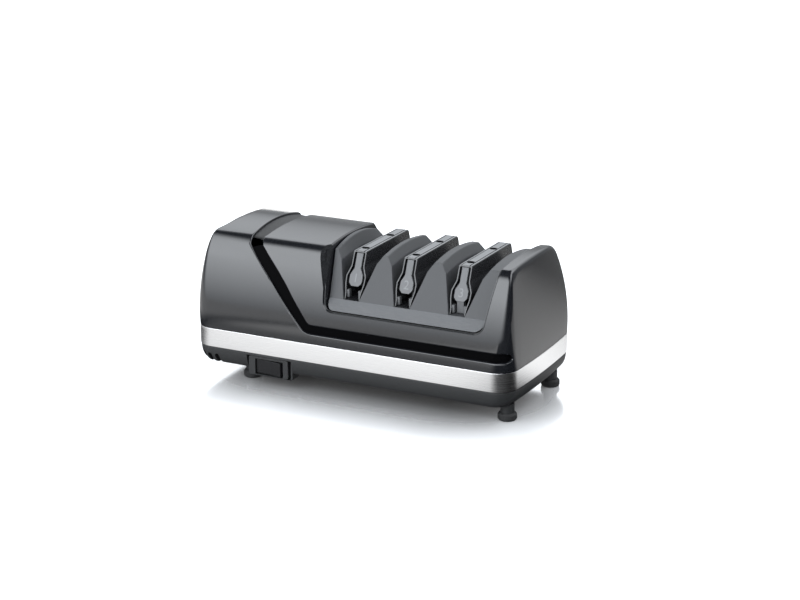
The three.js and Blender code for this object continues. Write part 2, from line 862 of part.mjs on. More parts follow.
// Feet: a rubber shoe on a stem whose spigot sits in the base's floor
const cornerNames = ["front_left", "rear_left", "front_right", "rear_right"];

function feet() {
  const bore = stemRadius + gap;
  const profile = [
    [0, 0],
    [footRadius - footLipRadius, 0],
    [footRadius, footLipRadius],
    [footRadius, footHeight - footLipRadius],
    [footRadius - footLipRadius, footHeight],
    [bore, footHeight],
    [bore, footSole],
    [0, footSole],
  ];
  footPlaces().forEach(([x, y], index) => {
    addPart(`foot_${cornerNames[index]}`, turned("z", profile, [x, y, 0]), "rubber");
    const stem = cylinder("z", stemRadius, footSole + gap, baseZ - gap, [x, y, 0]);
    const reach = [baseZ - 2 * gap, baseFloorZ + spigotReach];
    const spigot = cylinder("z", spigotRadius, ...reach, [x, y, 0], plainSegments);
    addPart(`foot_stem_${cornerNames[index]}`, stem.add(spigot), "base");
  });
}

function housingScrews() {
  const headTop = baseZ + screwRecess - gap;
  const end = headTop + screwLength;
  screwPlaces().forEach(([x, y], index) => {
    const head = cylinder("z", screwHeadRadius, headTop - screwHeadHeight, headTop, [x, y, 0]);
    const shank = cylinder("z", screwRadius, headTop - gap, end, [x, y, 0], plainSegments);
    addPart(`screw_${cornerNames[index]}`, head.add(shank), "iron");
  });
}

// Guide block: a moulded bridge with two ridges between three slots, its ends leaning back
function crownLift(y, height) {
  return height * Math.max(0, 1 - (y / ridgeTopHalfDepth) ** 2);
}

// Half of a ridge or shoulder beside a stage, as [distance from the stage, height]
function flankPoints(inset, lift) {
  const slant = inset / Math.cos(THREE.MathUtils.degToRad(flankAngle));
  return [
    [slotHalfWidth + slant, slotFloorZ - inset],
    [slotHalfWidth + flankRun + slant, slotFloorZ + flankHeight + lift],
    [slotHalfWidth + flankRun + chamferWidth + slant, ridgeTopZ + lift],
  ];
}

function blockSection(y) {
  const lift = crownLift(y, ridgeCrown);
  const flank = flankPoints(0, lift);
  const low = windowFloorZ - skirtDrop;
  const left = windowLeftTopX - wall;
  const right = windowRightTopX + wall;
  const points = [[right, low], [right, ridgeTopZ + lift]];
  [...stageXs].reverse().forEach((x) => {
    [...flank].reverse().forEach(([out, z]) => points.push([x + out, z]));
    flank.forEach(([out, z]) => points.push([x - out, z]));
  });
  points.push([left, ridgeTopZ + lift], [left, low]);
  return points.map(([x, z]) => new THREE.Vector3(x, y, z));
}

function sweptAlongY(section, half) {
  const rings = [];
  for (let step = 0; step <= 2 * roundSteps; step += 1) {
    rings.push(section(half * (step / roundSteps - 1)).reverse());
  }
  return lofted(rings);
}

// Slopes of the block's leaning ends, as half depth at a height
function blockEnd(z) {
  const share = (z - slotFloorZ) / (ridgeTopZ - slotFloorZ);
  return lipTopHalfDepth - (lipTopHalfDepth - ridgeTopHalfDepth) * share;
}

function mirrored(corners) {
  const back = corners.map(([y, z, radius]) => [-y, z, radius]);
  return outline([...corners, ...back.reverse()]);
}

function guideBlock() {
  const high = edgeZ + motorCrown + overrun;
  const lipZ = windowFloorZ + gap;
  const lipY = housingHalf(windowFloorZ) - gap;
  const skirtY = housingHalf(windowFloorZ) - wall - gap;
  const upper = sweptAlongY(blockSection, bandDepth / 2)
    .intersect(alongX(mirrored([
      [lipY, lipZ],
      [lipTopHalfDepth, slotFloorZ],
      [blockEnd(high), high],
    ]), -bandLength, bandLength))
    .intersect(alongY(windowOutline(-gap, high), -bandDepth, bandDepth));
  const skirts = [-1, 1].map((side) => box(
    [
      windowLeftLowX + windowCornerRadius,
      Math.min(side * skirtY, side * (skirtY - blockWall)),
      windowFloorZ - skirtDrop,
    ],
    [
      windowRightLowX - windowCornerRadius,
      Math.max(side * skirtY, side * (skirtY - blockWall)),
      lipZ + gap,
    ],
  ));
  const lipSlope = (lipY - lipTopHalfDepth) / (slotFloorZ - lipZ);
  const hollowTop = slotFloorZ - blockWall;
  const hollow = alongX(mirrored([
    [skirtY - blockWall, windowFloorZ - skirtDrop - overrun],
    [skirtY - blockWall, lipZ],
    [skirtY - blockWall - lipSlope * (hollowTop - lipZ), hollowTop],
  ]), windowLeftLowX + blockWall + gap, windowRightLowX - blockWall - gap);
  const discReach = Math.sqrt((discRadius + discWindowMargin) ** 2 - (hollowTop - shaftHeight) ** 2);
  const windows = stageXs.map((x) => box(
    [x - slotHalfWidth + gap, -discReach, windowFloorZ],
    [x + slotHalfWidth - gap, discReach, slotFloorZ + gap],
  ));
  addPart("guide_block", cutBy(joined(upper, ...skirts), hollow, ...ridgeHollows(), ...windows), "guide");
}

// Hollows under the ridges and shoulders, one wall in from the flanks
function ridgeHollows() {
  const low = slotFloorZ - blockWall;
  const topZ = slotFloorZ + flankHeight - blockWall;
  const flank = flankPoints(blockWall, 0);
  const lowOut = flank[0][0];
  const topOut = lowOut + flankRun * ((topZ - low) / flankHeight);
  const leftWall = windowLeftLowX + blockWall + gap;
  const rightWall = windowRightLowX - blockWall - gap;
  const spans = [
    [[leftWall, leftWall], [stageXs[0] - lowOut, stageXs[0] - topOut]],
    [[stageXs[0] + lowOut, stageXs[0] + topOut], [stageXs[1] - lowOut, stageXs[1] - topOut]],
    [[stageXs[1] + lowOut, stageXs[1] + topOut], [stageXs[2] - lowOut, stageXs[2] - topOut]],
    [[stageXs[2] + lowOut, stageXs[2] + topOut], [rightWall, rightWall]],
  ];
  const ends = alongX(mirrored([
    [blockEnd(low) - blockWall, low - overrun],
    [blockEnd(topZ) - blockWall, topZ + overrun],
  ]), -bandLength, bandLength);
  return spans
    .filter(([left, right]) => right[1] > left[1])
    .map(([left, right]) => alongY(outline([
      [left[0], low - gap],
      [right[0], low - gap],
      [right[1], topZ],
      [left[1], topZ],
    ]), -bandDepth / 2, bandDepth / 2).intersect(ends));
}

// Spring guides: a thin sheet folded over a grey spine, one pair of legs for each stage
function guideLift(y, rise) {
  const share = THREE.MathUtils.clamp(
    (rise - guideShoulderRise) / (guideTopRise - guideShoulderRise), 0, 1);
  return crownLift(y, ridgeCrown) * share;
}

function stageSection(x, rightSide) {
  const outlinePoints = [...rightSide, ...[...rightSide].reverse().map(([half, rise]) => [-half, rise])];
  return (y) => outlinePoints.map(([half, rise]) =>
    new THREE.Vector3(x + half, y, slotFloorZ + rise + guideLift(y, rise)));
}

function guideEnd(rise) {
  return guideFootHalfDepth + ((guideTopHalfDepth - guideFootHalfDepth) * rise) / guideTopRise;
}

// Leaning ends with a sharp front and a rounded back
function guideEnds(inset) {
  const high = guideTopRise + ridgeCrown + overrun;
  const topZ = slotFloorZ + guideTopRise;
  const corners = [
    [-guideEnd(-gap) + inset, slotFloorZ - gap],
    [guideEnd(-gap) - inset, slotFloorZ - gap],
    [guideEnd(guideTopRise) - inset, topZ, guideRearRadius],
    [guideEnd(guideTopRise) - inset - guideRearRadius, topZ + ridgeCrown],
    [0, slotFloorZ + high],
    [-guideEnd(high) + inset, slotFloorZ + high],
  ];
  return alongX(outline(corners), -bandLength, bandLength);
}

function springGuide(x, index) {
  const outer = [
    [guideFootHalf, gap],
    [guideAnkleHalf, guideAnkleRise],
    [guideBellyHalf, guideBellyRise],
    [guideShoulderHalf, guideShoulderRise],
    [guideNeckHalf, guideNeckRise],
    [guideTopHalf, guideTopRise],
  ];
  const innerTop = guideTopRise - guideSheet - gap;
  const inner = outer.map(([half, rise]) => [half - guideSheet, Math.min(rise, innerTop)]);
  inner[0][1] = -overrun;
  const shell = sweptAlongY(stageSection(x, outer), guideFootHalfDepth)
    .subtract(sweptAlongY(stageSection(x, inner), guideFootHalfDepth + overrun));
  const reach = Math.sqrt((discRadius + discWindowMargin) ** 2 - (slotFloorZ - shaftHeight) ** 2);
  const legWindow = box(
    [x - bandDepth, -reach, slotFloorZ - overrun],
    [x + bandDepth, reach, slotFloorZ + legWindowRise],
  );
  const notches = [-1, 1].map((side) => cylinder(
    "z",
    guideNotchRadius,
    slotFloorZ + guideShoulderRise,
    slotFloorZ + guideTopRise + ridgeCrown + overrun,
    [x, side * (guideTopHalfDepth - guideNotchInset), 0],
    plainSegments,
  ));
  const sheet = shell.intersect(guideEnds(0));
  addPart(`spring_guide_${index + 1}`, cutBy(sheet, legWindow, ...notches), "sleeve");
}

function stageSpine(x, index) {
  const topRise = guideTopRise - guideSheet - gap - gap;
  const side = [
    [spineFootHalf, spineFootRise],
    [spineBulbHalf, spineBellyRise],
    [spineBulbHalf, spineBulbRise],
    [spineNeckHalf, guideNeckRise],
    [spineNeckHalf, topRise],
  ];
  const plate = sweptAlongY(stageSection(x, side), guideFootHalfDepth);
  const front = guideEnd(spineFootRise) - postSetbacks[index];
  const posts = [-1, 1].map((sign) => box(
    [x - postHalfWidth, Math.min(sign * front, sign * (front - postDepth)), slotFloorZ + gap],
    [x + postHalfWidth, Math.max(sign * front, sign * (front - postDepth)), slotFloorZ + spineBellyRise],
  ));
  addPart(`stage_spine_${index + 1}`, joined(plate, ...posts).intersect(guideEnds(gap)), "spine");
}

// Shaft and what turns with it
const pinSlotDepth = gap + 2 * pinRadius + gap;
const pinOffset = discFaceOffset + discHubLength - pinSlotDepth + gap + pinRadius;
const sides = [["left", -1], ["right", 1]];

function motorShaft() {
  const right = supportX + supportThickness + gap;
  const shaft = cylinder("x", shaftRadius, fanLeftX - shaftStub, right, [0, 0, shaftHeight]);
  const holes = stageXs.flatMap((x) => sides.map(([, sign]) => cylinder(
    "z",
    pinRadius + gap,
    shaftHeight - shaftRadius - gap,
    shaftHeight + shaftRadius + gap,
    [x + sign * pinOffset, 0, 0],
    plainSegments,
  )));
  addPart("motor_shaft", cutBy(shaft, ...holes), "iron");
}

// Disc: a shallow cone with a hub that a cross pin of the shaft drives
function sharpeningDisc(x, index, [side, sign]) {
  const bore = shaftRadius + gap;
  const hubFace = discFaceOffset + discHubLength;
  const profile = [
    [bore, discFaceOffset - discThickness],
    [discHubRadius, discFaceOffset - discThickness],
    [discRadius, discFaceOffset - discThickness - discCone],
    [discRadius, discFaceOffset - discCone],
    [discHubRadius, discFaceOffset],
    [discHubRadius, hubFace],
    [bore, hubFace],
  ];
  const disc = turned("x", profile, [0, 0, 0], discSegments);
  const slot = box(
    [hubFace - pinSlotDepth, -pinRadius - gap, -discHubRadius - gap],
    [hubFace + overrun, pinRadius + gap, discHubRadius + gap],
  );
  const placed = disc.subtract(slot).rotate([0, 0, sign > 0 ? 0 : 180]).translate([x, 0, shaftHeight]);
  addPart(`disc_${index + 1}_${side}`, placed, "abrasive");
  const pin = cylinder(
    "z",
    pinRadius,
    -pinLength / 2,
    pinLength / 2,
    [x + sign * pinOffset, 0, shaftHeight],
    plainSegments,
  );
  addPart(`drive_pin_${index + 1}_${side}`, pin, "iron");
}

function roundSection(radius, segments) {
  const points = [];
  for (let index = 0; index < segments; index += 1) {
    const angle = (2 * Math.PI * index) / segments;
    points.push(new THREE.Vector2(radius, 0).rotateAround(new THREE.Vector2(), angle));
  }
  return new THREE.Shape(points);
}

// Compression spring between the two discs of a stage
class HelixAlongX extends THREE.Curve {
  constructor(length) {
    super();
    this.length = length;
  }

  getPoint(share, target = new THREE.Vector3()) {
    const angle = 2 * Math.PI * springCurls * share;
    return target.set(
      this.length * (share - 1 / 2),
      springMeanRadius * Math.cos(angle),
      springMeanRadius * Math.sin(angle),
    );
  }
}

function discSpring(x, index) {
  const room = 2 * (discFaceOffset - discThickness - gap);
  const path = new HelixAlongX(room - springWire);
  const geometry = new THREE.ExtrudeGeometry(roundSection(springWire / 2, springSides), {
    extrudePath: path,
    steps: springCurls * coilSteps,
    bevelEnabled: false,
  });
  addPart(`disc_spring_${index + 1}`, solidOf(geometry.translate(x, 0, shaftHeight)), "iron");
}

// Motor: a laminated stack with a side coil, a rotor in its bore and a fan at the left
function motorStack() {
  const limbLow = shaftHeight - limbWindowHalf;
  const limbHigh = shaftHeight + limbWindowHalf;
  const limbFront = stackRear - limbDepth;
  const stack = alongX(
    rectangle(
      [-stackFront, shaftHeight - stackHalfHeight],
      [stackRear, shaftHeight + stackHalfHeight],
      coilCornerRadius,
    ),
    stackLeftX,
    stackRightX,
  );
  const coilWindow = box(
    [stackLeftX - overrun, limbFront - limbWindowDepth, limbLow],
    [stackRightX + overrun, limbFront, limbHigh],
  );
  const bore = cylinder(
    "x",
    boreRadius,
    stackLeftX - overrun,
    stackRightX + overrun,
    [0, 0, shaftHeight],
    discSegments,
  );
  const holes = boltPlaces().map((y) => cylinder(
    "x",
    boltRadius + gap,
    stackLeftX - overrun,
    stackRightX + overrun,
    [0, y, shaftHeight],
    plainSegments,
  ));
  addPart("motor_stack", cutBy(stack, coilWindow, bore, ...holes), "iron");
}

function boltPlaces() {
  return [-stackFront + boltInset, stackFront - boltInset];
}

function motorCoil() {
  const limbFront = stackRear - limbDepth;
  const innerLeg = limbWindowDepth - 2 * gap;
  const low = shaftHeight - limbWindowHalf + gap;
  const high = shaftHeight + limbWindowHalf - gap;
  const ring = alongZ(
    rectangle(
      [stackLeftX - coilBuild, limbFront - innerLeg],
      [stackRightX + coilBuild, stackRear + coilBuild],
      coilCornerRadius,
    ),
    low,
    high,
  );
  const limb = box(
    [stackLeftX - gap, limbFront - gap, low - overrun],
    [stackRightX + gap, stackRear + gap, high + overrun],
  );
  addPart("motor_coil", ring.subtract(limb), "copper");
}

function motorRotor() {
  const left = stackLeftX - rotorOverhang;
  const right = stackRightX + rotorOverhang;
  const profile = [
    [shaftRadius + gap, left],
    [boreRadius - rotorAirGap, left],
    [boreRadius - rotorAirGap, right],
    [shaftRadius + gap, right],
  ];
  addPart("motor_rotor", turned("x", profile, [0, 0, shaftHeight], discSegments), "iron");
}

// End bracket: a bent strap screwed to the stack, with a seat for the bearing
function motorBracket(name, bearingName, faceX, sign) {
  const reach = bracketReach;
  const inner = stackFront - bracketSheet;
  const flangeHalf = boreRadius + gap;
  const strap = alongZ(outline([
    [gap, -flangeHalf],
    [gap, -stackFront],
    [reach, -stackFront, bracketSheet],
    [reach, stackFront, bracketSheet],
    [gap, stackFront],
    [gap, flangeHalf],
    [gap + bracketSheet, flangeHalf],
    [gap + bracketSheet, inner],
    [reach - bracketSheet, inner],
    [reach - bracketSheet, -inner],
    [gap + bracketSheet, -inner],
    [gap + bracketSheet, -flangeHalf],
  ]), -bracketHalfHeight, bracketHalfHeight);
  const boss = cylinder("x", bearingRadius + bearingSeatWall, reach - bearingLength, reach, [0, 0, 0]);
  const seatStart = reach - bearingLength - overrun;
  const seat = cylinder("x", bearingRadius + gap, seatStart, reach + overrun, [0, 0, 0]);
  const holes = boltPlaces().map((y) =>
    cylinder("x", boltRadius + gap, -overrun, overrun, [0, y, 0], plainSegments));
  const turn = sign > 0 ? 0 : 180;
  const place = [faceX, 0, shaftHeight];
  addPart(name, cutBy(strap.add(boss), seat, ...holes).rotate([0, 0, turn]).translate(place), "iron");
  bearingBush(bearingName, faceX + sign * (reach - bearingLength / 2));
}

function bearingBush(name, middleX) {
  const half = bearingLength / 2;
  const profile = [
    [shaftRadius + gap, -half],
    [bearingRadius, -half],
    [bearingRadius, half],
    [shaftRadius + gap, half],
  ];
  addPart(name, turned("x", profile, [middleX, 0, shaftHeight]), "bronze");
}

function motorBolts() {
  const left = stackLeftX - gap - bracketSheet - gap;
  const right = stackRightX + gap + bracketSheet + boltHeadHeight;
  boltPlaces().forEach((y, index) => {
    const place = [0, y, shaftHeight];
    const head = cylinder("x", boltHeadRadius, left - boltHeadHeight, left, place, plainSegments);
    const shank = cylinder("x", boltRadius, left - gap, right, place, plainSegments);
    addPart(["motor_bolt_front", "motor_bolt_rear"][index], head.add(shank), "iron");
  });
}

function coolingFan() {
  const hub = cylinder("x", fanHubRadius, -fanLength / 2, fanLength / 2, [0, 0, 0]);
  const blades = [];
  for (let index = 0; index < fanBlades; index += 1) {
    const blade = new THREE.BoxGeometry(fanLength, fanBladeThickness, fanRadius - shaftRadius - wall);
    blade.rotateZ(THREE.MathUtils.degToRad(fanBladeTwist));
    blade.translate(0, 0, (fanRadius + shaftRadius + wall) / 2);
    blade.rotateX((2 * Math.PI * index) / fanBlades);
    blades.push(solidOf(blade));
  }
  const bore = cylinder("x", shaftRadius + gap, -fanLength, fanLength, [0, 0, 0]);
  const wheel = joined(hub, ...blades).subtract(bore);
  addPart("cooling_fan", wheel.translate([fanX, 0, shaftHeight]), "nylon");
}

// Pedestal on the tray floor for the bearing at the far end of the shaft
function shaftSupport() {
  const foot = baseFloorZ + gap;
  const pedestal = alongX(outline([
    [-supportFootHalf, foot],
    [supportFootHalf, foot],
    [supportFootHalf, foot + supportRibHeight, wall],
    [supportHeadRadius, shaftHeight - supportHeadRadius, wall],
    [supportHeadRadius, shaftHeight + supportHeadRadius, supportHeadRadius - gap],
    [-supportHeadRadius, shaftHeight + supportHeadRadius, supportHeadRadius - gap],
    [-supportHeadRadius, shaftHeight - supportHeadRadius, wall],
    [-supportFootHalf, foot + supportRibHeight, wall],
  ]), supportX, supportX + supportThickness);
  const seat = cylinder(
    "x",
    bearingRadius + gap,
    supportX - overrun,
    supportX + supportThickness + overrun,
    [0, 0, shaftHeight],
  );
  addPart("shaft_support", pedestal.subtract(seat), "base");
  bearingBush("bearing_outer", supportX + supportThickness / 2);
}

// Leads inside the body: from the gland to the switch, and from the switch to the coil
function lead(name, points) {
  const path = new THREE.CatmullRomCurve3(points.map((point) => new THREE.Vector3(...point)));
  const geometry = new THREE.ExtrudeGeometry(roundSection(leadRadius, leadSides), {
    extrudePath: path,
    steps: leadSteps,
    bevelEnabled: false,
  });
  addPart(name, solidOf(geometry), "lead");
}

function leads() {
  const level = (baseFloorZ + switchBodyTopZ) / 2;
  const bodyY = bezelBackY + gap + switchBodyDepth / 2;
  const glandEnd = glandFaceY - glandBossDepth - glandCollar - 2 * gap;
  const leftEnd = switchX - switchBodyHalfLength - gap;
  const rightEnd = switchX + switchBodyHalfLength + gap;
  const coilY = stackRear + coilBuild / 2;
  const coilX = stackRightX + coilBuild + gap;
  lead("supply_lead", [
    [glandX, glandEnd, glandZ],
    [glandX, glandEnd - bearingLength, glandZ],
    [stackLeftX - footRadius, 0, level],
    [leftEnd - footRadius, bodyY + footRadius, level],
    [leftEnd - wall, bodyY, level],
    [leftEnd, bodyY, level],
  ]);
  lead("motor_lead", [
    [rightEnd, bodyY, level],
    [rightEnd + wall, bodyY, level],
    [coilX + footRadius, 0, level],
    [coilX + footRadius, coilY - wall, shaftHeight - limbWindowHalf],
    [coilX + wall, coilY, shaftHeight],
    [coilX, coilY, shaftHeight],
  ]);
}

upperHousing();
steelBand();
baseTray();
switchBezel();
switchRocker();
switchBody();
filingsHatch();
cordGland();
feet();
housingScrews();
guideBlock();
stageXs.forEach(springGuide);
stageXs.forEach(stageSpine);
motorShaft();
stageXs.forEach((x, index) => sides.forEach((side) => sharpeningDisc(x, index, side)));
stageXs.forEach(discSpring);
motorStack();
motorCoil();
motorRotor();
motorBracket("motor_bracket_left", "bearing_left", stackLeftX, -1);
motorBracket("motor_bracket_right", "bearing_right", stackRightX, 1);
motorBolts();
coolingFan();
shaftSupport();
leads();

export default root;
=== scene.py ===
import json
import math
from contextlib import contextmanager

import bmesh
import bpy
from mathutils import Matrix, Vector
from mathutils.bvhtree import BVHTree


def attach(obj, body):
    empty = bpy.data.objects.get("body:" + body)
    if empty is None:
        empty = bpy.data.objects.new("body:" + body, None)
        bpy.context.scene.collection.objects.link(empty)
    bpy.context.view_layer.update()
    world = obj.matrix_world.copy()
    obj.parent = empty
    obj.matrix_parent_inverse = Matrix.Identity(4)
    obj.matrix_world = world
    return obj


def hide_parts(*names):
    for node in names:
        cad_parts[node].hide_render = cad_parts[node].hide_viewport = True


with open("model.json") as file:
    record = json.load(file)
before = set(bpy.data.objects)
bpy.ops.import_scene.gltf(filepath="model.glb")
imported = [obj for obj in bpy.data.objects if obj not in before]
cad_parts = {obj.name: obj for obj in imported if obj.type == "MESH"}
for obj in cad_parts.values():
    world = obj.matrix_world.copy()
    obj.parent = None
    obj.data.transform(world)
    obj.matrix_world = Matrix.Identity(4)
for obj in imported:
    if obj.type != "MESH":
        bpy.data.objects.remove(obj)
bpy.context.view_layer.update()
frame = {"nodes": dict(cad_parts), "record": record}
scene = bpy.context.scene
mm = 0.001

print("stage: tools for the pieces")


@contextmanager
def editing(mesh):
    bm = bmesh.new()
    bm.from_mesh(mesh)
    yield bm
    bm.to_mesh(mesh)
    bm.free()


def linked(name, data):
    made = bpy.data.objects.new(name, data)
    scene.collection.objects.link(made)
    return made


def shapeObject(bm, name):
    mesh = bpy.data.meshes.new(name)
    bm.to_mesh(mesh)
    bm.free()
    return linked(name, mesh)


# An object from one of the functions that fill a bmesh
def built(name, make, *values, **options):
    bm = bmesh.new()
    make(bm, *values, **options)
    return shapeObject(bm, name)


# A closed form through rings of points, joined point by point, with its ends closed or joined to each other
def loft(bm, rings, capEnd=True, closed=False):
    loops = [[bm.verts.new(point) for point in ring] for ring in rings]
    for lower, upper in zip(loops, loops[1:] + (loops[:1] if closed else [])):
        for i in range(len(lower)):
            bm.faces.new((lower[i - 1], lower[i], upper[i], upper[i - 1]))
    if not closed:
        bm.faces.new(loops[0])
        if capEnd:
            bm.faces.new(loops[-1])
    bmesh.ops.recalc_face_normals(bm, faces=bm.faces)


def prism(bm, points, offset):
    verts = [bm.verts.new(point) for point in points]
    loop = [bm.edges.new((verts[i - 1], verts[i])) for i in range(len(verts))]
    made = bmesh.ops.contextual_create(bm, geom=loop)
    grown = bmesh.ops.extrude_face_region(bm, geom=made["faces"])
    moved = [item for item in grown["geom"] if isinstance(item, bmesh.types.BMVert)]
    bmesh.ops.translate(bm, verts=moved, vec=offset)
    bmesh.ops.recalc_face_normals(bm, faces=bm.faces)


# A flat outline pushed along an axis (0, 1 or 2) from one place to another
def pushed(name, axis, points, low, high):
    places = [list(point) for point in points]
    for place in places:
        place.insert(axis, low)
    offset = Vector((0, 0, 0))
    offset[axis] = high - low
    return built(name, prism, places, offset)


def block(bm, low, high):
    made = bmesh.ops.create_cube(bm, size=1)
    bmesh.ops.scale(bm, vec=[b - a for a, b in zip(low, high)], verts=made["verts"])
    bmesh.ops.translate(bm, vec=[(a + b) / 2 for a, b in zip(low, high)], verts=made["verts"])


def blockShape(low, high):
    return built("block", block, low, high)


# Lays an upright form along y when asked, then moves it to its place
def settle(bm, place, alongY):
    if alongY:
        bmesh.ops.rotate(bm, verts=bm.verts, matrix=Matrix.Rotation(-math.pi / 2, 3, "X"))
    bmesh.ops.translate(bm, verts=bm.verts, vec=place)


def rod(bm, radius, low, high, place, alongY=False, segments=48):
    bmesh.ops.create_cone(
        bm, cap_ends=True, segments=segments, radius1=radius, radius2=radius, depth=high - low)
    bmesh.ops.translate(bm, verts=bm.verts, vec=(0, 0, (low + high) / 2))
    settle(bm, place, alongY)


def rodShape(*values, **options):
    return built("rod", rod, *values, **options)


# Path through corners of (x, z, radius), with an arc at each rounded corner
def roundedPath(corners, steps=10, closed=False):
    points = []
    last = len(corners) - 1
    for i, (x, z, radius) in enumerate(corners):
        here = Vector((x, z))
        if radius == 0 or (not closed and i in (0, last)):
            points.append(here)
            continue
        before = (Vector(corners[i - 1][:2]) - here).normalized()
        after = (Vector(corners[0 if i == last else i + 1][:2]) - here).normalized()
        half = before.angle(after) / 2
        if half > math.radians(89.5):
            points.extend([here] * (steps + 1))
            continue
        start = here + before * (radius / math.tan(half))
        end = here + after * (radius / math.tan(half))
        middle = here + (before + after).normalized() * (radius / math.sin(half))
        arm = start - middle
        sweep = math.copysign(math.pi - 2 * half, arm.cross(end - middle))
        for step in range(steps + 1):
            cosine, sine = math.cos(sweep * step / steps), math.sin(sweep * step / steps)
            points.append(middle + Vector((arm.x * cosine - arm.y * sine, arm.x * sine + arm.y * cosine)))
    return points


def roundedBox(left, low, right, high, radius, steps):
    corners = [(left, low, radius), (right, low, radius), (right, high, radius), (left, high, radius)]
    return roundedPath(corners, steps, closed=True)


# A profile of (radius, height, rounding) spun about an upright axis
def turned(bm, corners, place, alongY=False, segments=64, steps=4):
    verts = [bm.verts.new((max(p.x, 0), 0, p.y)) for p in roundedPath(corners, steps)]
    edges = [bm.edges.new(pair) for pair in zip(verts, verts[1:])]
    bmesh.ops.spin(
        bm, geom=verts + edges, cent=(0, 0, 0), axis=(0, 0, 1), angle=2 * math.pi, steps=segments,
        use_merge=True)
    bmesh.ops.remove_doubles(bm, verts=bm.verts, dist=0.0005)
    bmesh.ops.dissolve_degenerate(bm, edges=bm.edges, dist=0.0005)
    bmesh.ops.recalc_face_normals(bm, faces=bm.faces)
    settle(bm, place, alongY)


def bakeModifiers(shape):
    bpy.context.view_layer.update()
    done = bpy.data.meshes.new_from_object(shape.evaluated_get(bpy.context.evaluated_depsgraph_get()))
    shape.modifiers.clear()
    old = shape.data
    shape.data = done
    bpy.data.meshes.remove(old)


# Cuts one shape by others, joins them or keeps what they share, and removes the tools
def carve(shape, tools, operation="DIFFERENCE"):
    for tool in tools:
        cut = shape.modifiers.new("cut", "BOOLEAN")
        cut.operation = operation
        cut.solver = "EXACT"
        cut.object = tool
        bakeModifiers(shape)
    for tool in tools:
        oldTool = tool.data
        bpy.data.objects.remove(tool)
        bpy.data.meshes.remove(oldTool)


# Rounds every edge sharper than an angle
def roundEdges(shape, degrees, width, segments, where=None):
    limit = math.radians(degrees)
    with editing(shape.data) as bm:
        edges = [edge for edge in bm.edges
                 if edge.is_manifold and edge.calc_face_angle(0) > limit and (where is None or where(edge))]
        bmesh.ops.bevel(
            bm, geom=edges, offset=width, offset_type="OFFSET", affect="EDGES", segments=segments,
            profile=0.5, material=-1, clamp_overlap=False, loop_slide=True)


# Merges points that a rounding left on top of each other
def mergeClose(shape, distance=0.01):
    with editing(shape.data) as bm:
        bmesh.ops.remove_doubles(bm, verts=bm.verts, dist=distance)
        bmesh.ops.dissolve_degenerate(bm, edges=bm.edges, dist=distance)


def giveMaterials(shape, names):
    for name in names:
        shape.data.materials.append(materials[name])


# Gives a finished shape its shading, name, size in metres, body and slot, and hides the nodes that it stands
# for
def finishPiece(shape, name, slotName, replaced=(), body="frame", material=None, angle=35, skin=None):
    if not shape.data.materials:
        giveMaterials(shape, [material or slotName])
    limit = math.radians(angle)
    with editing(shape.data) as bm:
        for face in bm.faces:
            face.smooth = True
        for edge in bm.edges:
            edge.smooth = len(edge.link_faces) == 2 and edge.calc_face_angle(0) < limit
    shape.modifiers.new("normals", "WEIGHTED_NORMAL").keep_sharp = True
    bakeModifiers(shape)
    shape.name = name
    shape.data.name = name
    if skin:
        skin.shade(shape.data)
    shape.data.transform(Matrix.Scale(mm, 4))
    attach(shape, body)
    if replaced:
        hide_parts(*replaced)


print("stage: camera, floor and light")

view = {
    "lens": 90.45,
    "sensor": 36,
    "azimuth": 26.49,
    "elevation": 17.25,
    "place": (0.70777, -1.38834, 0.55033),
    "reach": 60,
}


def makeCamera():
    azimuth, elevation = math.radians(view["azimuth"]), math.radians(view["elevation"])
    level = math.cos(elevation)
    back = Vector((math.sin(azimuth) * level, -math.cos(azimuth) * level, math.sin(elevation)))
    cameraData = bpy.data.cameras.new("camera")
    cameraData.lens = view["lens"]
    cameraData.sensor_width = view["sensor"]
    cameraData.clip_end = view["reach"]
    camera = linked("camera", cameraData)
    camera.location = view["place"]
    camera.rotation_mode = "QUATERNION"
    camera.rotation_quaternion = (-back).to_track_quat("-Z", "Y")
    scene.camera = camera
    scene.view_settings.view_transform = "Standard"


# A node tree with short ways to add and join its nodes
class Net:
    def __init__(self, tree):
        self.nodes = tree.nodes
        self.link = tree.links.new

    def add(self, kind, **settings):
        node = self.nodes.new("ShaderNode" + kind)
        for key, value in settings.items():
            if key in node.inputs:
                node.inputs[key].default_value = value
            else:
                setattr(node, key, value)
        return node

    def feed(self, node, *values):
        for socket, value in zip(node.inputs, values):
            if isinstance(value, (int, float)):
                socket.default_value = value
            else:
                self.link(value, socket)
        return node.outputs[0]

    def calc(self, operation, *values):
        return self.feed(self.add("Math", operation=operation), *values)

    def mix(self, share, first, second):
        return self.feed(self.add("MixShader"), share, first, second)

    def spread(self, value, fromLow, fromHigh, toLow, toHigh, smooth=True):
        node = self.add("MapRange", interpolation_type="SMOOTHSTEP" if smooth else "LINEAR")
        return self.feed(node, value, fromLow, fromHigh, toLow, toHigh)


def newMaterial(name):
    material = bpy.data.materials.new(name)
    material.use_nodes = True
    net = Net(material.node_tree)
    return material, net, net.nodes["Principled BSDF"]


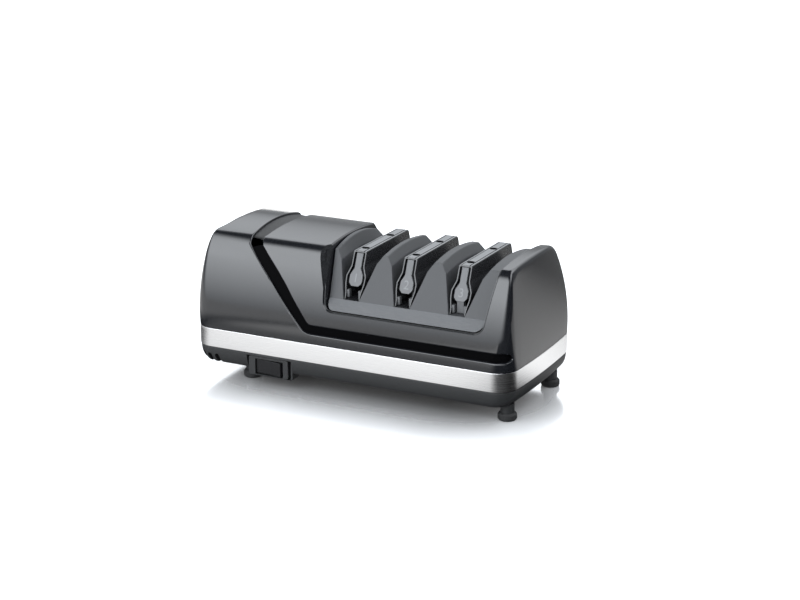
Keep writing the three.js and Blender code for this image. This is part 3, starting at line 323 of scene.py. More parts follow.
# White floor with the shadow and a mirror image that fades away from the object. Glossy rays see a glow
# instead, whose level changes along x and y. Lengths in metres
floorLook = {
    "size": 24,
    "colour": (0.8, 0.805, 0.815, 1),
    "lift": 0.32,
    "mirrorRoughness": 0.16,
    "mirrorHalf": (0.07, 0),
    "mirrorFade": (0.005, 0.2, 1, 0.02),
    "frontGlow": (-0.15, -0.04, 1.0, 0.16),
    "frontFar": (-0.3, -0.2, 2.6, 1),
    "rightGlow": (0.05, 0.16, 1, 0.04),
    "leftGlow": (-0.27, -0.2, 0.2, 1),
    "sideGlow": (-0.36, -0.26, 1.3, 0),
    "rearGlow": (0, 0.085, 0, 1),
    "rearSlant": 1.3,
    "farGlow": (-0.245, 0.175, 1.34, 0.33),
}


def makeFloor():
    floor = built("floor", bmesh.ops.create_grid, x_segments=1, y_segments=1, size=floorLook["size"])
    material, net, shader = newMaterial("floor_white")
    net.nodes.remove(shader)
    place = net.add("SeparateXYZ")
    net.link(net.add("TexCoord").outputs["Object"], place.inputs[0])
    x, y = place.outputs[:2]
    beyond = net.add("CombineXYZ")
    for value, half, socket in zip((x, y), floorLook["mirrorHalf"], beyond.inputs):
        outside = net.calc("SUBTRACT", net.calc("ABSOLUTE", value), half)
        net.link(net.calc("MAXIMUM", outside, 0), socket)
    away = net.add("VectorMath", operation="LENGTH")
    net.link(beyond.outputs[0], away.inputs[0])
    mirrorShare = net.spread(away.outputs["Value"], *floorLook["mirrorFade"])
    plain = net.add("BsdfDiffuse", Color=floorLook["colour"]).outputs[0]
    lift = net.add("Emission", Strength=floorLook["lift"]).outputs[0]
    mirror = net.add("BsdfAnisotropic", Color=(1, 1, 1, 1), Roughness=floorLook["mirrorRoughness"]).outputs[0]
    seen = net.mix(mirrorShare, net.feed(net.add("AddShader"), plain, lift), mirror)

    def level(value, name):
        return net.spread(value, *floorLook[name])

    front = level(y, "frontGlow")
    for factor in (level(x, "rightGlow"), level(x, "leftGlow"), level(y, "frontFar")):
        front = net.calc("MULTIPLY", front, factor)
    slanted = net.calc("SUBTRACT", y, net.calc("MULTIPLY", x, floorLook["rearSlant"]))
    rear = net.calc("MULTIPLY", level(y, "rearGlow"), level(slanted, "farGlow"))
    glow = net.calc("ADD", net.calc("ADD", front, rear), level(x, "sideGlow"))
    glowing = net.add("Emission")
    net.link(glow, glowing.inputs["Strength"])
    path = net.add("LightPath").outputs
    bounced = net.calc("MAXIMUM", path["Is Glossy Ray"], path["Is Transmission Ray"])
    whole = net.mix(path["Is Camera Ray"], net.mix(bounced, plain, glowing.outputs[0]), seen)
    net.link(whole, net.nodes["Material Output"].inputs["Surface"])
    floor.data.materials.append(material)


# Room: large soft light areas on a dim room, each by azimuth, elevation range and level
roomLook = {
    "dim": 0.05,
    "colour": (0.925, 0.96, 1, 1),
    "areas": {
        "front": {"azimuth": -19, "half": 42, "soft": 44, "rise": (-10, 27), "fall": (42, 56), "level": 7.6},
        "rear": {"azimuth": 205, "half": 62, "soft": 24, "rise": (10, 50), "fall": (50, 62), "level": 3.9},
        "horizon": {
            "azimuth": 205, "half": 75, "soft": 20, "rise": (-20, -10), "fall": (30, 50), "level": 0.45},
        "right": {"azimuth": 102, "half": 42, "soft": 24, "rise": (26, 40), "fall": (60, 72), "level": 5.4},
    },
}


def makeRoom():
    world = bpy.data.worlds.new("room")
    scene.world = world
    world.use_nodes = True
    net = Net(world.node_tree)
    place = net.add("SeparateXYZ")
    net.link(net.add("TexCoord").outputs["Generated"], place.inputs[0])
    upward = net.calc("ARCSINE", place.outputs[2])
    level = net.add("VectorMath", operation="NORMALIZE")
    net.link(net.feed(net.add("CombineXYZ"), *place.outputs[:2]), level.inputs[0])
    total = roomLook["dim"]
    for patch in roomLook["areas"].values():
        around = math.radians(patch["azimuth"])
        facing = net.add("VectorMath", operation="DOT_PRODUCT")
        facing.inputs[1].default_value = (math.sin(around), -math.cos(around), 0)
        net.link(level.outputs[0], facing.inputs[0])
        aside = net.calc("ARCCOSINE", facing.outputs["Value"])
        low, high = (math.radians(patch["half"] + patch["soft"] * sign / 2) for sign in (-1, 1))
        side = net.spread(aside, low, high, 1, 0)
        rise = net.spread(upward, *map(math.radians, patch["rise"]), 0, 1, smooth=False)
        fall = net.spread(upward, *map(math.radians, patch["fall"]), 1, 0)
        shown = net.calc("MULTIPLY", net.calc("MULTIPLY", rise, fall), side)
        total = net.calc("ADD", net.calc("MULTIPLY", shown, patch["level"]), total)
    background = net.nodes["Background"]
    net.link(total, background.inputs["Strength"])
    background.inputs["Color"].default_value = roomLook["colour"]
    white = net.add("Background", Color=(1, 1, 1, 1)).outputs[0]
    seen = net.mix(net.add("LightPath").outputs["Is Camera Ray"], background.outputs[0], white)
    net.link(seen, net.nodes["World Output"].inputs["Surface"])


makeCamera()
makeFloor()
makeRoom()

print("stage: materials")

# Each look: two colours that a pattern mixes, the roughness range, the pattern's size, its relief and depth
looks = {
    "gloss_black": {
        "colours": ((0.0045, 0.005, 0.006), (0.0065, 0.007, 0.0085)), "roughness": (0.11, 0.13),
        "size": 2.4, "relief": 0.005, "depth": 0.05},
    # Facets: the housing's gloss black with weaker gloss, as painted shade on the slanted faces
    "facet_black": {
        "colours": ((0.0055, 0.006, 0.0065), (0.0075, 0.008, 0.009)), "roughness": (0.14, 0.18),
        "size": 2.4, "relief": 0.01, "depth": 0.05, "specular": 0.28},
    # Groove floor: the housing's plastic painted near black and dull, as painted shade in the recess
    "channel_black": {
        "colours": ((0.0008, 0.0008, 0.001), (0.0014, 0.0014, 0.0016)), "roughness": (0.42, 0.5),
        "size": 0.8, "relief": 0.04, "depth": 0.05, "paintedSheenRise": (112, 119, 0.01, 0.24)},
    "brushed_band": {
        "colours": ((0.79, 0.795, 0.805), (0.85, 0.855, 0.86)), "roughness": (0.24, 0.32), "metallic": 1,
        "size": (30, 30, 0.07), "relief": 0.04, "depth": 0.012, "anisotropic": 0.6},
    "base_charcoal": {
        "colours": ((0.008, 0.0084, 0.0088), (0.0155, 0.0162, 0.017)), "roughness": (0.5, 0.66),
        "size": 0.35, "relief": 0.35, "depth": 0.08, "specular": 0.4},
    "switch_black": {
        "colours": ((0.004, 0.004, 0.0045), (0.008, 0.008, 0.009)), "roughness": (0.42, 0.54),
        "size": 0.3, "relief": 0.15, "depth": 0.04, "specular": 0.22},
    "guide_grey": {
        "colours": ((0.03, 0.031, 0.033), (0.038, 0.0395, 0.042)), "roughness": (0.48, 0.6),
        "size": 0.45, "relief": 0.22, "depth": 0.05, "specular": 0.35},
    # Lip panel: a lighter copy of the guide grey, as painted light on the upward slope
    "lip_grey": {
        "colours": ((0.074, 0.0765, 0.08), (0.098, 0.1005, 0.104)), "roughness": (0.46, 0.6),
        "size": (5, 0.5, 0.3), "relief": 0.22, "depth": 0.05, "specular": 0.35},
    "spine_grey": {
        "colours": ((0.054, 0.056, 0.059), (0.072, 0.074, 0.077)), "roughness": (0.42, 0.54),
        "size": 0.4, "relief": 0.2, "depth": 0.04},
    "number_grey": {
        "colours": ((0.1, 0.103, 0.108), (0.13, 0.133, 0.138)), "roughness": (0.36, 0.46),
        "size": 0.3, "relief": 0.1, "depth": 0.03},
    "sleeve_black": {
        "colours": ((0.011, 0.0115, 0.0125), (0.016, 0.0165, 0.018)), "roughness": (0.2, 0.3),
        "size": 0.5, "relief": 0.05, "depth": 0.04},
    # Sheet tops: a lighter grey for the up-facing faces, as painted light on the tops
    "strip_grey": {
        "colours": ((0.095, 0.098, 0.102), (0.125, 0.128, 0.132)), "roughness": (0.34, 0.46),
        "size": (0.4, 2.5, 0.4), "relief": 0.15, "depth": 0.04},
    "foot_rubber": {
        "colours": ((0.008, 0.008, 0.0085), (0.016, 0.016, 0.016)), "roughness": (0.66, 0.85),
        "size": 0.3, "relief": 0.4, "depth": 0.08, "specular": 0.3},
    "shaft_steel": {
        "colours": ((0.5, 0.51, 0.53), (0.68, 0.69, 0.7)), "roughness": (0.2, 0.36), "metallic": 1,
        "size": (0.12, 6, 6), "relief": 0.15, "depth": 0.02},
    "bracket_steel": {
        "colours": ((0.42, 0.425, 0.43), (0.56, 0.56, 0.55)), "roughness": (0.34, 0.5), "metallic": 1,
        "size": 3.5, "relief": 0.12, "depth": 0.04, "cells": True},
    "lamination_steel": {
        "colours": ((0.12, 0.125, 0.13), (0.33, 0.335, 0.345)), "roughness": (0.4, 0.6), "metallic": 1,
        "size": 0.5, "relief": 0.6, "depth": 0.12, "bands": "X"},
    "magnet": {
        "colours": ((0.07, 0.07, 0.075), (0.11, 0.11, 0.115)), "roughness": (0.45, 0.6), "metallic": 1,
        "size": 0.7, "relief": 0.2, "depth": 0.05},
    "copper_winding": {
        "colours": ((0.3, 0.1, 0.035), (0.62, 0.24, 0.09)), "roughness": (0.24, 0.4), "metallic": 1,
        "size": 0.45, "relief": 0.9, "depth": 0.18, "bands": "Y"},
    "bearing_bronze": {
        "colours": ((0.36, 0.22, 0.085), (0.5, 0.33, 0.14)), "roughness": (0.38, 0.55), "metallic": 1,
        "size": 0.5, "relief": 0.25, "depth": 0.05},
    "abrasive_disc": {
        "colours": ((0.18, 0.185, 0.19), (0.5, 0.51, 0.52)), "roughness": (0.5, 0.85), "metallic": 0.35,
        "size": 0.35, "relief": 0.9, "depth": 0.15, "cells": True},
    "fan_nylon": {
        "colours": ((0.5, 0.49, 0.45), (0.58, 0.57, 0.53)), "roughness": (0.5, 0.66),
        "size": 0.8, "relief": 0.15, "depth": 0.05},
    "lead_sheath": {
        "colours": ((0.02, 0.021, 0.023), (0.034, 0.036, 0.038)), "roughness": (0.5, 0.66),
        "size": 0.6, "relief": 0.15, "depth": 0.05},
}


def patternOf(net, look, source):
    if "bands" in look:
        node = net.add(
            "TexWave", wave_type="BANDS", bands_direction=look["bands"], Scale=0.5, Distortion=0.15)
    elif "cells" in look:
        node = net.add("TexVoronoi", Scale=1)
    else:
        node = net.add("TexNoise", Scale=1, Detail=3, Roughness=0.6)
    net.link(source, node.inputs["Vector"])
    return node.outputs["Distance" if "cells" in look else "Fac"]


def makeLook(name, look):
    material, net, shader = newMaterial(name)
    inputs = shader.inputs
    place = net.add("TexCoord").outputs["Object"]
    size = look["size"] if isinstance(look["size"], tuple) else [look["size"]] * 3
    mapping = net.add("Mapping", Scale=[1 / (length * mm) for length in size])
    net.link(place, mapping.inputs["Vector"])
    pattern = patternOf(net, look, mapping.outputs["Vector"])
    share = net.spread(pattern, 0.25, 0.75, 0, 1)
    tint = net.add("Mix", data_type="RGBA")
    for socket, colour in zip(tint.inputs[6:8], look["colours"]):
        socket.default_value = (*colour, 1)
    net.link(share, tint.inputs["Factor"])
    net.link(tint.outputs[2], inputs["Base Color"])
    net.link(net.spread(share, 0, 1, *look["roughness"]), inputs["Roughness"])
    bump = net.add("Bump", Strength=look["relief"], Distance=look["depth"] * mm)
    net.link(pattern, bump.inputs["Height"])
    net.link(bump.outputs["Normal"], inputs["Normal"])
    inputs["Metallic"].default_value = look.get("metallic", 0)
    inputs["Specular IOR Level"].default_value = look.get("specular", 0.5)
    # Painted sheen: the gloss level rises with height, so the groove reads dull down the front and lighter
    # over the roof
    if "paintedSheenRise" in look:
        low, high, dull, shiny = look["paintedSheenRise"]
        height = net.add("SeparateXYZ")
        net.link(place, height.inputs[0])
        sheen = net.spread(height.outputs[2], low * mm, high * mm, dull, shiny)
        net.link(sheen, inputs["Specular IOR Level"])
    if "anisotropic" in look:
        inputs["Anisotropic"].default_value = look["anisotropic"]
        net.link(net.add("Tangent", direction_type="RADIAL", axis="Z").outputs[0], inputs["Tangent"])
    return material


materials = {name: makeLook(name, look) for name, look in looks.items()}

for row in frame["record"]["subparts"]:
    for slot in frame["nodes"][row["node"]].material_slots:
        slot.material = materials[row["material_slot"]]

print("stage: housing")

body = {
    "length": 285,
    "depth": 129.7,
    "bow": 2.5,
    "bandBottom": 27.8,
    "bandTop": 43.2,
    "rise": 75.3,
    "topDepth": 85.6,
    "leftLean": 5.5,
    "rightLean": 8.5,
    "cornerLow": 15.5,
    "cornerTop": 1.6,
    "motorCrown": 6.2,
    "guideCrown": 3.5,
    "wall": 2.5,
}
edgeZ = body["bandTop"] + body["rise"]
outsideY = 80

housing = {
    "bottom": 43.5,
    "hollowBottom": 30,
    "levels": 22,
    "cornerSteps": 10,
    "endSteps": 10,
    "roofSteps": 12,
    "edgeSteps": 8,
    "settleSteps": 6,
    "edgeReach": 5,
    "leastReach": 0.8,
    "wallReach": (3, 1.7),
    "leftReach": 14,
    "rightReach": 2.6,
    "endFade": 6,
    "spineMargin": 30,
    "stations": (
        -98.8, -96.6, -87.4, -85.2, -72, -60, -48, -36, -24, -12, 0, 30, 60, 90, 105, 112, 118, 121),
    "lip": 1.4,
}
# The housing's plastic, then two painted-shade copies of it: near black for the groove's floor, less glossy
# for the facets
housingMaterials = ("gloss_black", "channel_black", "facet_black")
channelSlot = 1
facetSlot = 2


def clamped(value):
    return min(1, max(0, value))


def lean(z):
    return max(0, (z - body["bandTop"]) / body["rise"]) ** 2


def halfDepth(z):
    return body["depth"] / 2 - (body["depth"] - body["topDepth"]) / 2 * lean(z)


# A ring in plan with rounded corners and ends that bow outwards
def ringAt(z, left, right, half, radius):
    points = []
    steps, ends = housing["cornerSteps"], housing["endSteps"]

    def corner(x, y, quarter):
        for step in range(steps + 1):
            angle = (quarter + step / steps) * math.pi / 2
            points.append((x + radius * math.cos(angle), y + radius * math.sin(angle)))

    def side(x, sign):
        points.extend((x, sign * (half - radius) * (1 - 2 * step / ends)) for step in range(1, ends))

    corner(right - radius, half - radius, 0)
    points.extend((x, half) for x in reversed(housing["stations"]))
    corner(left + radius, half - radius, 1)
    side(left, 1)
    corner(left + radius, radius - half, 2)
    points.extend((x, -half) for x in housing["stations"])
    corner(right - radius, radius - half, 3)
    side(right, -1)
    ring = []
    for x, y in points:
        outward = body["bow"] if x > (left + right) / 2 else -body["bow"]
        ring.append(Vector((x + outward * (1 - (y / half) ** 2), y, z)))
    return ring


def wallRing(z, inset):
    share = min(lean(z), 1.2)
    left = -body["length"] / 2 + body["bow"] + body["leftLean"] * share + inset
    right = body["length"] / 2 - body["bow"] - body["rightLean"] * share - inset
    radius = body["cornerLow"] + (body["cornerTop"] - body["cornerLow"]) * min(1, math.sqrt(share))
    return ringAt(z, left, right, halfDepth(z) - inset, max(radius - inset, inset / 2 + 0.3))


# 0 left of the groove across the roof, 1 right of it
def pastGroove(x):
    low, high = housing["stations"][1:3]
    return clamped((x - low) / (high - low))


def roofHeight(x, y, inset):
    crown = body["motorCrown"] + (body["guideCrown"] - body["motorCrown"]) * pastGroove(x)
    return edgeZ - inset + crown * (1 - (y / (body["topDepth"] / 2)) ** 2)


# Rings up the leaning walls, round the upper edge and in over the crowned roof
def skinRings(inset, bottom):
    count = len(wallRing(edgeZ, inset))
    heights = [edgeZ] * count
    for _ in range(housing["settleSteps"]):
        for i in range(count):
            point = wallRing(heights[i], inset)[i]
            heights[i] = roofHeight(point.x, point.y, inset)
    edge = [wallRing(heights[i], inset)[i] for i in range(count)]
    lowX = min(point.x for point in edge) + housing["spineMargin"]
    highX = max(point.x for point in edge) - housing["spineMargin"]
    reach = []
    wallReach = []
    left, right = housing["wallReach"]
    for point in edge:
        toEnd = 0
        if not lowX < point.x < highX:
            toEnd = min(1, housing["endFade"] * (1 - abs(point.y) / (halfDepth(point.z) - inset)))
            toEnd = toEnd * toEnd * (3 - 2 * toEnd)
        endReach = housing["leftReach"] if point.x < 0 else housing["rightReach"]
        wanted = housing["edgeReach"] * (1 - toEnd) + endReach * toEnd - inset
        reach.append(max(wanted, housing["leastReach"]))
        wallReach.append(right + (left - right) * (1 - pastGroove(point.x)) * (1 - toEnd))
    rings = []
    for level in range(housing["levels"] + 1):
        share = level / housing["levels"]
        rings.append([
            wallRing(bottom + (heights[i] - reach[i] * wallReach[i] - bottom) * share, inset)[i]
            for i in range(count)])
    centres = [min(max(point.x, lowX), highX) for point in edge]
    inner = []
    for i, point in enumerate(edge):
        way = Vector((centres[i] - point.x, -point.y, 0)).normalized()
        place = point + way * reach[i]
        place.z = roofHeight(place.x, place.y, inset)
        inner.append(place)
    below = rings[-1]
    for step in range(1, housing["edgeSteps"]):
        t = step / housing["edgeSteps"]
        rings.append([
            below[i] * (1 - t) ** 2 + edge[i] * 2 * t * (1 - t) + inner[i] * t * t for i in range(count)])
    rings.append(inner)
    for step in range(1, housing["roofSteps"] + 1):
        t = 1 - step / housing["roofSteps"]
        places = [(x + (point.x - x) * t, point.y * t) for x, point in zip(centres, inner)]
        rings.append([Vector((x, y, roofHeight(x, y, inset))) for x, y in places])
    return rings


def housingForm(inset, bottom, name):
    bm = bmesh.new()
    loft(bm, skinRings(inset, bottom), capEnd=False)
    bmesh.ops.remove_doubles(bm, verts=bm.verts, dist=0.001)
    bmesh.ops.dissolve_degenerate(bm, edges=bm.edges, dist=0.001)
    bmesh.ops.recalc_face_normals(bm, faces=bm.faces)
    return shapeObject(bm, name)


# What counts as lying on the skin (distance, angle), and how far shading may turn on small and large faces
shading = {"near": 0.12, "match": 0.3, "smallArea": 2.5, "smallTurn": 0.9, "turn": 0.12}


# The smooth skin is kept to place cuts on and to take the shading from
class Skin:
    def __init__(self, shape):
        bm = bmesh.new()
        bm.from_mesh(shape.data)
        upper = [face for face in bm.faces if face.calc_center_median().z > housing["bottom"] + 0.5]
        bmesh.ops.triangulate(bm, faces=upper)
        bm.normal_update()
        self.tree = BVHTree.FromBMesh(bm)
        self.corners = [[(v.co.copy(), v.normal.copy()) for v in face.verts] for face in bm.faces]
        bm.free()

    def normalAt(self, place, index):
        corners = self.corners[index][:3]
        weights = weightsOf(place, [corner[0] for corner in corners])
        total = Vector((0, 0, 0))
        for weight, corner in zip(weights, corners):
            total += corner[1] * weight
        return total.normalized()

    def cast(self, start, way):
        place, _, index, _ = self.tree.ray_cast(start, way)
        return place, self.normalAt(place, index)

    def nearest(self, place):
        found, _, index, distance = self.tree.find_nearest(place)
        return found, self.normalAt(found, index), distance

    # Takes the shading of every face that lies on the skin, and of the roundings beside it, from the skin
    def shade(self, mesh):
        normals = [Vector(corner.vector) for corner in mesh.corner_normals]
        onSkin = {}
        skinFaces = set()
        for face in mesh.polygons:
            if face.material_index == facetSlot:
                continue
            _, normal, distance = self.nearest(face.center)
            if distance < shading["near"] and normal.angle(face.normal) < shading["match"]:
                skinFaces.add(face.index)
                for vertex in face.vertices:
                    if vertex not in onSkin:
                        onSkin[vertex] = self.nearest(mesh.vertices[vertex].co)[1]
        for face in mesh.polygons:
            limit = shading["smallTurn"] if face.area < shading["smallArea"] else shading["turn"]
            for corner in face.loop_indices:
                vertex = mesh.loops[corner].vertex_index
                normal = onSkin.get(vertex)
                if face.material_index == facetSlot:
                    normals[corner] = facetNormal(mesh.vertices[vertex].co)
                elif normal and (normal.angle(face.normal) < limit or face.index in skinFaces):
                    normals[corner] = normal
        mesh.normals_split_custom_set(normals)


def weightsOf(place, corners):
    a, b, c = corners
    first, second, third = b - a, c - a, place - a
    d00, d01, d11 = first.dot(first), first.dot(second), second.dot(second)
    d20, d21 = third.dot(first), third.dot(second)
    scale = d00 * d11 - d01 * d01
    if abs(scale) < 1e-12:
        return 1, 0, 0
    v = (d11 * d20 - d01 * d21) / scale
    w = (d00 * d21 - d01 * d20) / scale
    return 1 - v - w, v, w


castAxisZ = 70
castReach = 200


def polarCast(skin, x, angle):
    way = Vector((0, -math.cos(angle), math.sin(angle)))
    return skin.cast(Vector((x, 0, castAxisZ)) + way * castReach, -way)


def frontCast(skin, x, z):
    return skin.cast(Vector((x, -castReach, z)), Vector((0, 1, 0)))


# The angles of a way over the roof from one place on the front wall to its mirror on the rear wall
def overAngles(place, steps):
    start = math.atan2(place.z - castAxisZ, -place.y)
    return [start + (math.pi - 2 * start) * step / steps for step in range(1, steps)]


# Lip places as (left, right): top and edge on the roof, then bend, turn and the low run to the end
groove = {
    "depth": 1.8,
    "lip": 1.7,
    "foot": 0.08,
    "top": (-96.8, -87.2),
    "edge": (-96.6, -85.2),
    "bend": (-72.3, -59.5),
    "turn": (-37.3, -34.3),
    "low": (51.7, 58.3),
    "bendRadius": 180,
    "radius": (14, 7),
    "end": 139.6,
    "tip": 3.75,
    "tipSteps": 6,
    "edgeZ": 113.5,
    "bendZ": 89.8,
    "arcSteps": 12,
    "runs": (12, 14, 24),
    "overSteps": 40,
}


# Pairs of lip places along the groove, each with its outward direction
def grooveStations(skin):
    upper, middle, lower = groove["runs"]
    arc = [1] * groove["arcSteps"]
    counts = [upper] + arc + [middle] + arc + [lower]
    tipX = groove["end"] - groove["tip"]
    lips = []
    for side in (0, 1):
        path = roundedPath([
            (groove["edge"][side], groove["edgeZ"], 0),
            (groove["bend"][side], groove["bendZ"], groove["bendRadius"]),
            (groove["turn"][side], groove["low"][side], groove["radius"][side]),
            (tipX, groove["low"][side], 0),
        ], groove["arcSteps"])
        filled = [path[0]]
        for a, b, count in zip(path, path[1:], counts):
            filled += [a + (b - a) * (step / count) for step in range(1, count + 1)]
        lips.append(filled)
    front = [tuple(frontCast(skin, lip.x, lip.y) for lip in pair) for pair in zip(*lips)]
    low, high = groove["low"]
    for step in range(1, groove["tipSteps"] + 1):
        angle = step / groove["tipSteps"] * math.pi / 2 * 0.94
        x = tipX + groove["tip"] * math.sin(angle)
        half = (high - low) / 2 * math.cos(angle)
        front.append(tuple(frontCast(skin, x, (low + high) / 2 + sign * half) for sign in (-1, 1)))
    over = []
    steps = groove["overSteps"]
    for step, angle in enumerate(overAngles(front[0][0][0], steps), 1):
        bend = clamped((0.5 - abs(step / steps - 0.5)) / 0.5 * 8)
        over.append(tuple(
            polarCast(skin, edge + (top - edge) * bend, angle)
            for edge, top in zip(groove["edge"], groove["top"])))
    flipped = Matrix.Diagonal((1, -1, 1))
    rear = [tuple((flipped @ place, flipped @ normal) for place, normal in pair) for pair in front]
    return list(reversed(front)) + over + rear


def grooveSection(pair):
    (left, leftNormal), (right, rightNormal) = pair
    across = right - left
    width = across.length
    across.normalize()
    out = (leftNormal + rightNormal).normalized()
    out = (out - across * out.dot(across)).normalized()
    lip, deep, foot = groove["lip"], groove["depth"], min(groove["foot"], width / 2 - 0.05)
    side = [(-lip * 1.15, 4), (-lip * 1.02, 0.06)]
    for angle in map(math.radians, (72, 54, 36, 18, 0)):
        side.append((-lip + lip * math.cos(angle), -lip + lip * math.sin(angle)))
    for angle in map(math.radians, (0, 30, 60, 90)):
        side.append((0.12 + foot - foot * math.cos(angle), -deep + foot - foot * math.sin(angle)))
    points = []
    for place, skinNormal, sign, steps in ((left, leftNormal, 1, side), (right, rightNormal, -1, side[::-1])):
        normal = (skinNormal - across * skinNormal.dot(across)).normalized()
        for t, n in steps:
            points.append(place + across * (sign * t) + (normal if n > -lip * 0.4 else out) * n)
    return points


def grooveTool(skin):
    tool = built("groove_tool", loft, [grooveSection(pair) for pair in grooveStations(skin)])
    giveMaterials(tool, housingMaterials[:2])
    # Faces deep in the groove get the painted-shade material
    for face in tool.data.polygons:
        if skin.nearest(face.center)[2] > groove["depth"] * 0.85:
            face.material_index = channelSlot
    return tool


window = {
    "floor": 71.7,
    "leftTop": -25.5,
    "leftLow": -20.4,
    "rightTop": 121.6,
    "rightLow": 115.4,
    "corner": 8,
    "toolTop": 140,
    "sideRun": 14,
    "floorRun": 40,
}
windowRise = edgeZ - window["floor"]
windowSlopes = [(window[side + "Top"] - window[side + "Low"]) / windowRise for side in ("left", "right")]


def windowPoints(margin, highZ):
    floorZ = window["floor"] - margin

    def left(z):
        return window["leftLow"] + windowSlopes[0] * (z - window["floor"]) - margin

    def right(z):
        return window["rightLow"] + windowSlopes[1] * (z - window["floor"]) + margin

    radius = window["corner"] + margin
    return roundedPath([
        (left(highZ), highZ, 0), (left(floorZ), floorZ, radius), (right(floorZ), floorZ, radius),
        (right(highZ), highZ, 0)])


def windowTool(margin, name):
    return pushed(name, 1, windowPoints(margin, window["toolTop"]), -outsideY, outsideY)


# Stations round the window's edge on the skin: place, skin normal and the way into the window
def rimStations(skin):
    path = windowPoints(0, groove["edgeZ"])
    filled = []
    for i, (a, b) in enumerate(zip(path, path[1:])):
        count = 1
        if i in (0, len(path) - 2):
            count = window["sideRun"]
        if i == len(path) // 2 - 1:
            count = window["floorRun"]
        filled += [a + (b - a) * (step / count) for step in range(count)]
    filled.append(path[-1])
    front = []
    for i, point in enumerate(filled):
        along = (filled[min(i + 1, len(filled) - 1)] - filled[max(i - 1, 0)]).normalized()
        front.append((*frontCast(skin, point.x, point.y), Vector((-along.y, 0, along.x))))
    roof = []
    for side, sign in ((0, 1), (1, -1)):
        top, slope = (window["leftTop"], window["rightTop"])[side], windowSlopes[side]
        way = Vector((sign, 0, -sign * slope)).normalized()
        line = []
        for angle in overAngles(front[-side][0], groove["overSteps"]):
            x = top
            for _ in range(3):
                place, normal = polarCast(skin, x, angle)
                x = top + slope * (place.z - edgeZ)
            line.append((place, normal, way))
        roof.append(line)
    flipped = Matrix.Diagonal((1, -1, 1))
    rear = [tuple(flipped @ v for v in station) for station in reversed(front)]
    return front + roof[1] + rear + list(reversed(roof[0]))


# Rounds the window's edge with a closed sweep of the small wedge that lies outside the rounding
def rimTool(skin):
    radius = housing["lip"]
    sections = []
    for place, normal, way in rimStations(skin):
        down = (way * normal.dot(way) - normal).normalized()
        off = (normal * way.dot(normal) - way).normalized()
        half = off.angle(down) / 2
        reach = radius / math.tan(half)
        middle = place + (off + down).normalized() * (radius / math.sin(half))
        start, end = place + off * reach - middle, place + down * reach - middle
        arc = [middle + start.slerp(end, t) for t in (0.2, 0.4, 0.6, 0.8, 1)]
        arc[-1] += way * 0.03
        sections.append([
            place + off * reach * 1.1 + normal * 2.5, place + off * reach * 1.02 + normal * 0.05, *arc,
            arc[-1] + way * 1.5, place + way * 1.5 + normal * 2.5])
    return built("rim_tool", loft, sections, closed=True)


facet = {
    "top": (-33, 42.8, 116),
    "inner": (-25.2, 36, 117),
    "foot": (-22.6, 57.4, 85.5),
    "toolTop": 126,
    "toolSize": (16, 30),
    "clear": 0.02,
    "steps": 12,
}


def facetCorners(side):
    return [Vector((x, y * side, z)) for x, y, z in (facet["top"], facet["inner"], facet["foot"])]


def facetNormal(place):
    side = math.copysign(1, place.y)
    top, inner, foot = facetCorners(side)
    slope = (top.x - foot.x) / (top.z - foot.z)
    upward = Vector((slope, side * (halfDepth(place.z + 0.5) - halfDepth(place.z - 0.5)), 1))
    normal = (inner - top).cross(upward).normalized()
    return normal if normal.y * side > 0 else -normal


# A slanted face from a line up the wall towards the window, slightly curved like the wall
def facetTool(side):
    top, inner, foot = facetCorners(side)
    width, depth = facet["toolSize"]
    across = (inner - top).normalized() * width
    outward = Vector((0, side * depth, 0))
    rings = []
    for step in range(facet["steps"] + 1):
        z = foot.z + (facet["toolTop"] - foot.z) * step / facet["steps"]
        x = foot.x + (top.x - foot.x) * (z - foot.z) / (top.z - foot.z)
        start = Vector((x, side * (halfDepth(z) + facet["clear"]), z))
        rings.append([start, start + across, start + across + outward, start + outward])
    tool = built("facet_tool", loft, rings)
    giveMaterials(tool, housingMaterials)
    # The facet's faces take the painted-shade copy of the plastic
    for face in tool.data.polygons:
        face.material_index = facetSlot
    return tool


# The wall's thickness behind a facet, kept out of the hollow
def facetWall(bm, side):
    for corner in facetCorners(side):
        for dx, dy in ((0.3, 0.3), (-3, -3)):
            bm.verts.new(corner + Vector((dx, side * dy, 0)))
    bmesh.ops.convex_hull(bm, input=bm.verts)


def makeHousing():
    shell = housingForm(0, housing["bottom"], "housing")
    skin = Skin(shell)
    hollow = housingForm(body["wall"], housing["hollowBottom"], "hollow")
    sideWalls = windowTool(body["wall"], "side_walls")
    carve(sideWalls, [blockShape(
        (window["leftLow"], -90, 0), (window["rightLow"], 90, window["floor"] + window["corner"]))])
    carve(hollow, [sideWalls])
    carve(hollow, [built("facet_wall", facetWall, side) for side in (-1, 1)])
    giveMaterials(shell, housingMaterials)
    carve(shell, [
        windowTool(0, "window"), rimTool(skin), facetTool(-1), facetTool(1), hollow, grooveTool(skin)])
    finishPiece(shell, "housing_shell", "gloss_black", ["upper_housing"], skin=skin)


makeHousing()

print("stage: band and base")

band = {"edge": 0.2, "thickness": 1.2}


def plainRing(z, inset, depthInset):
    end = body["length"] / 2 - body["bow"] - inset
    radius = max(body["cornerLow"] - depthInset, body["wall"])
    return ringAt(z, -end, end, body["depth"] / 2 - depthInset, radius)


def makeBand():
    low, high = body["bandBottom"], body["bandTop"]
    edge, thick = band["edge"], band["thickness"]
    profile = [
        (low, edge), (low + edge * 0.3, edge * 0.3), (low + edge, 0), (low + edge * 2, 0),
        (high - edge * 2, 0), (high - edge, 0), (high - edge * 0.3, edge * 0.3), (high, edge),
        (high, thick), (low, thick)]
    shape = built("band", loft, [plainRing(z, inset, inset) for z, inset in profile], closed=True)
    finishPiece(shape, "brushed_band", "brushed_band", ["steel_band"], angle=30)


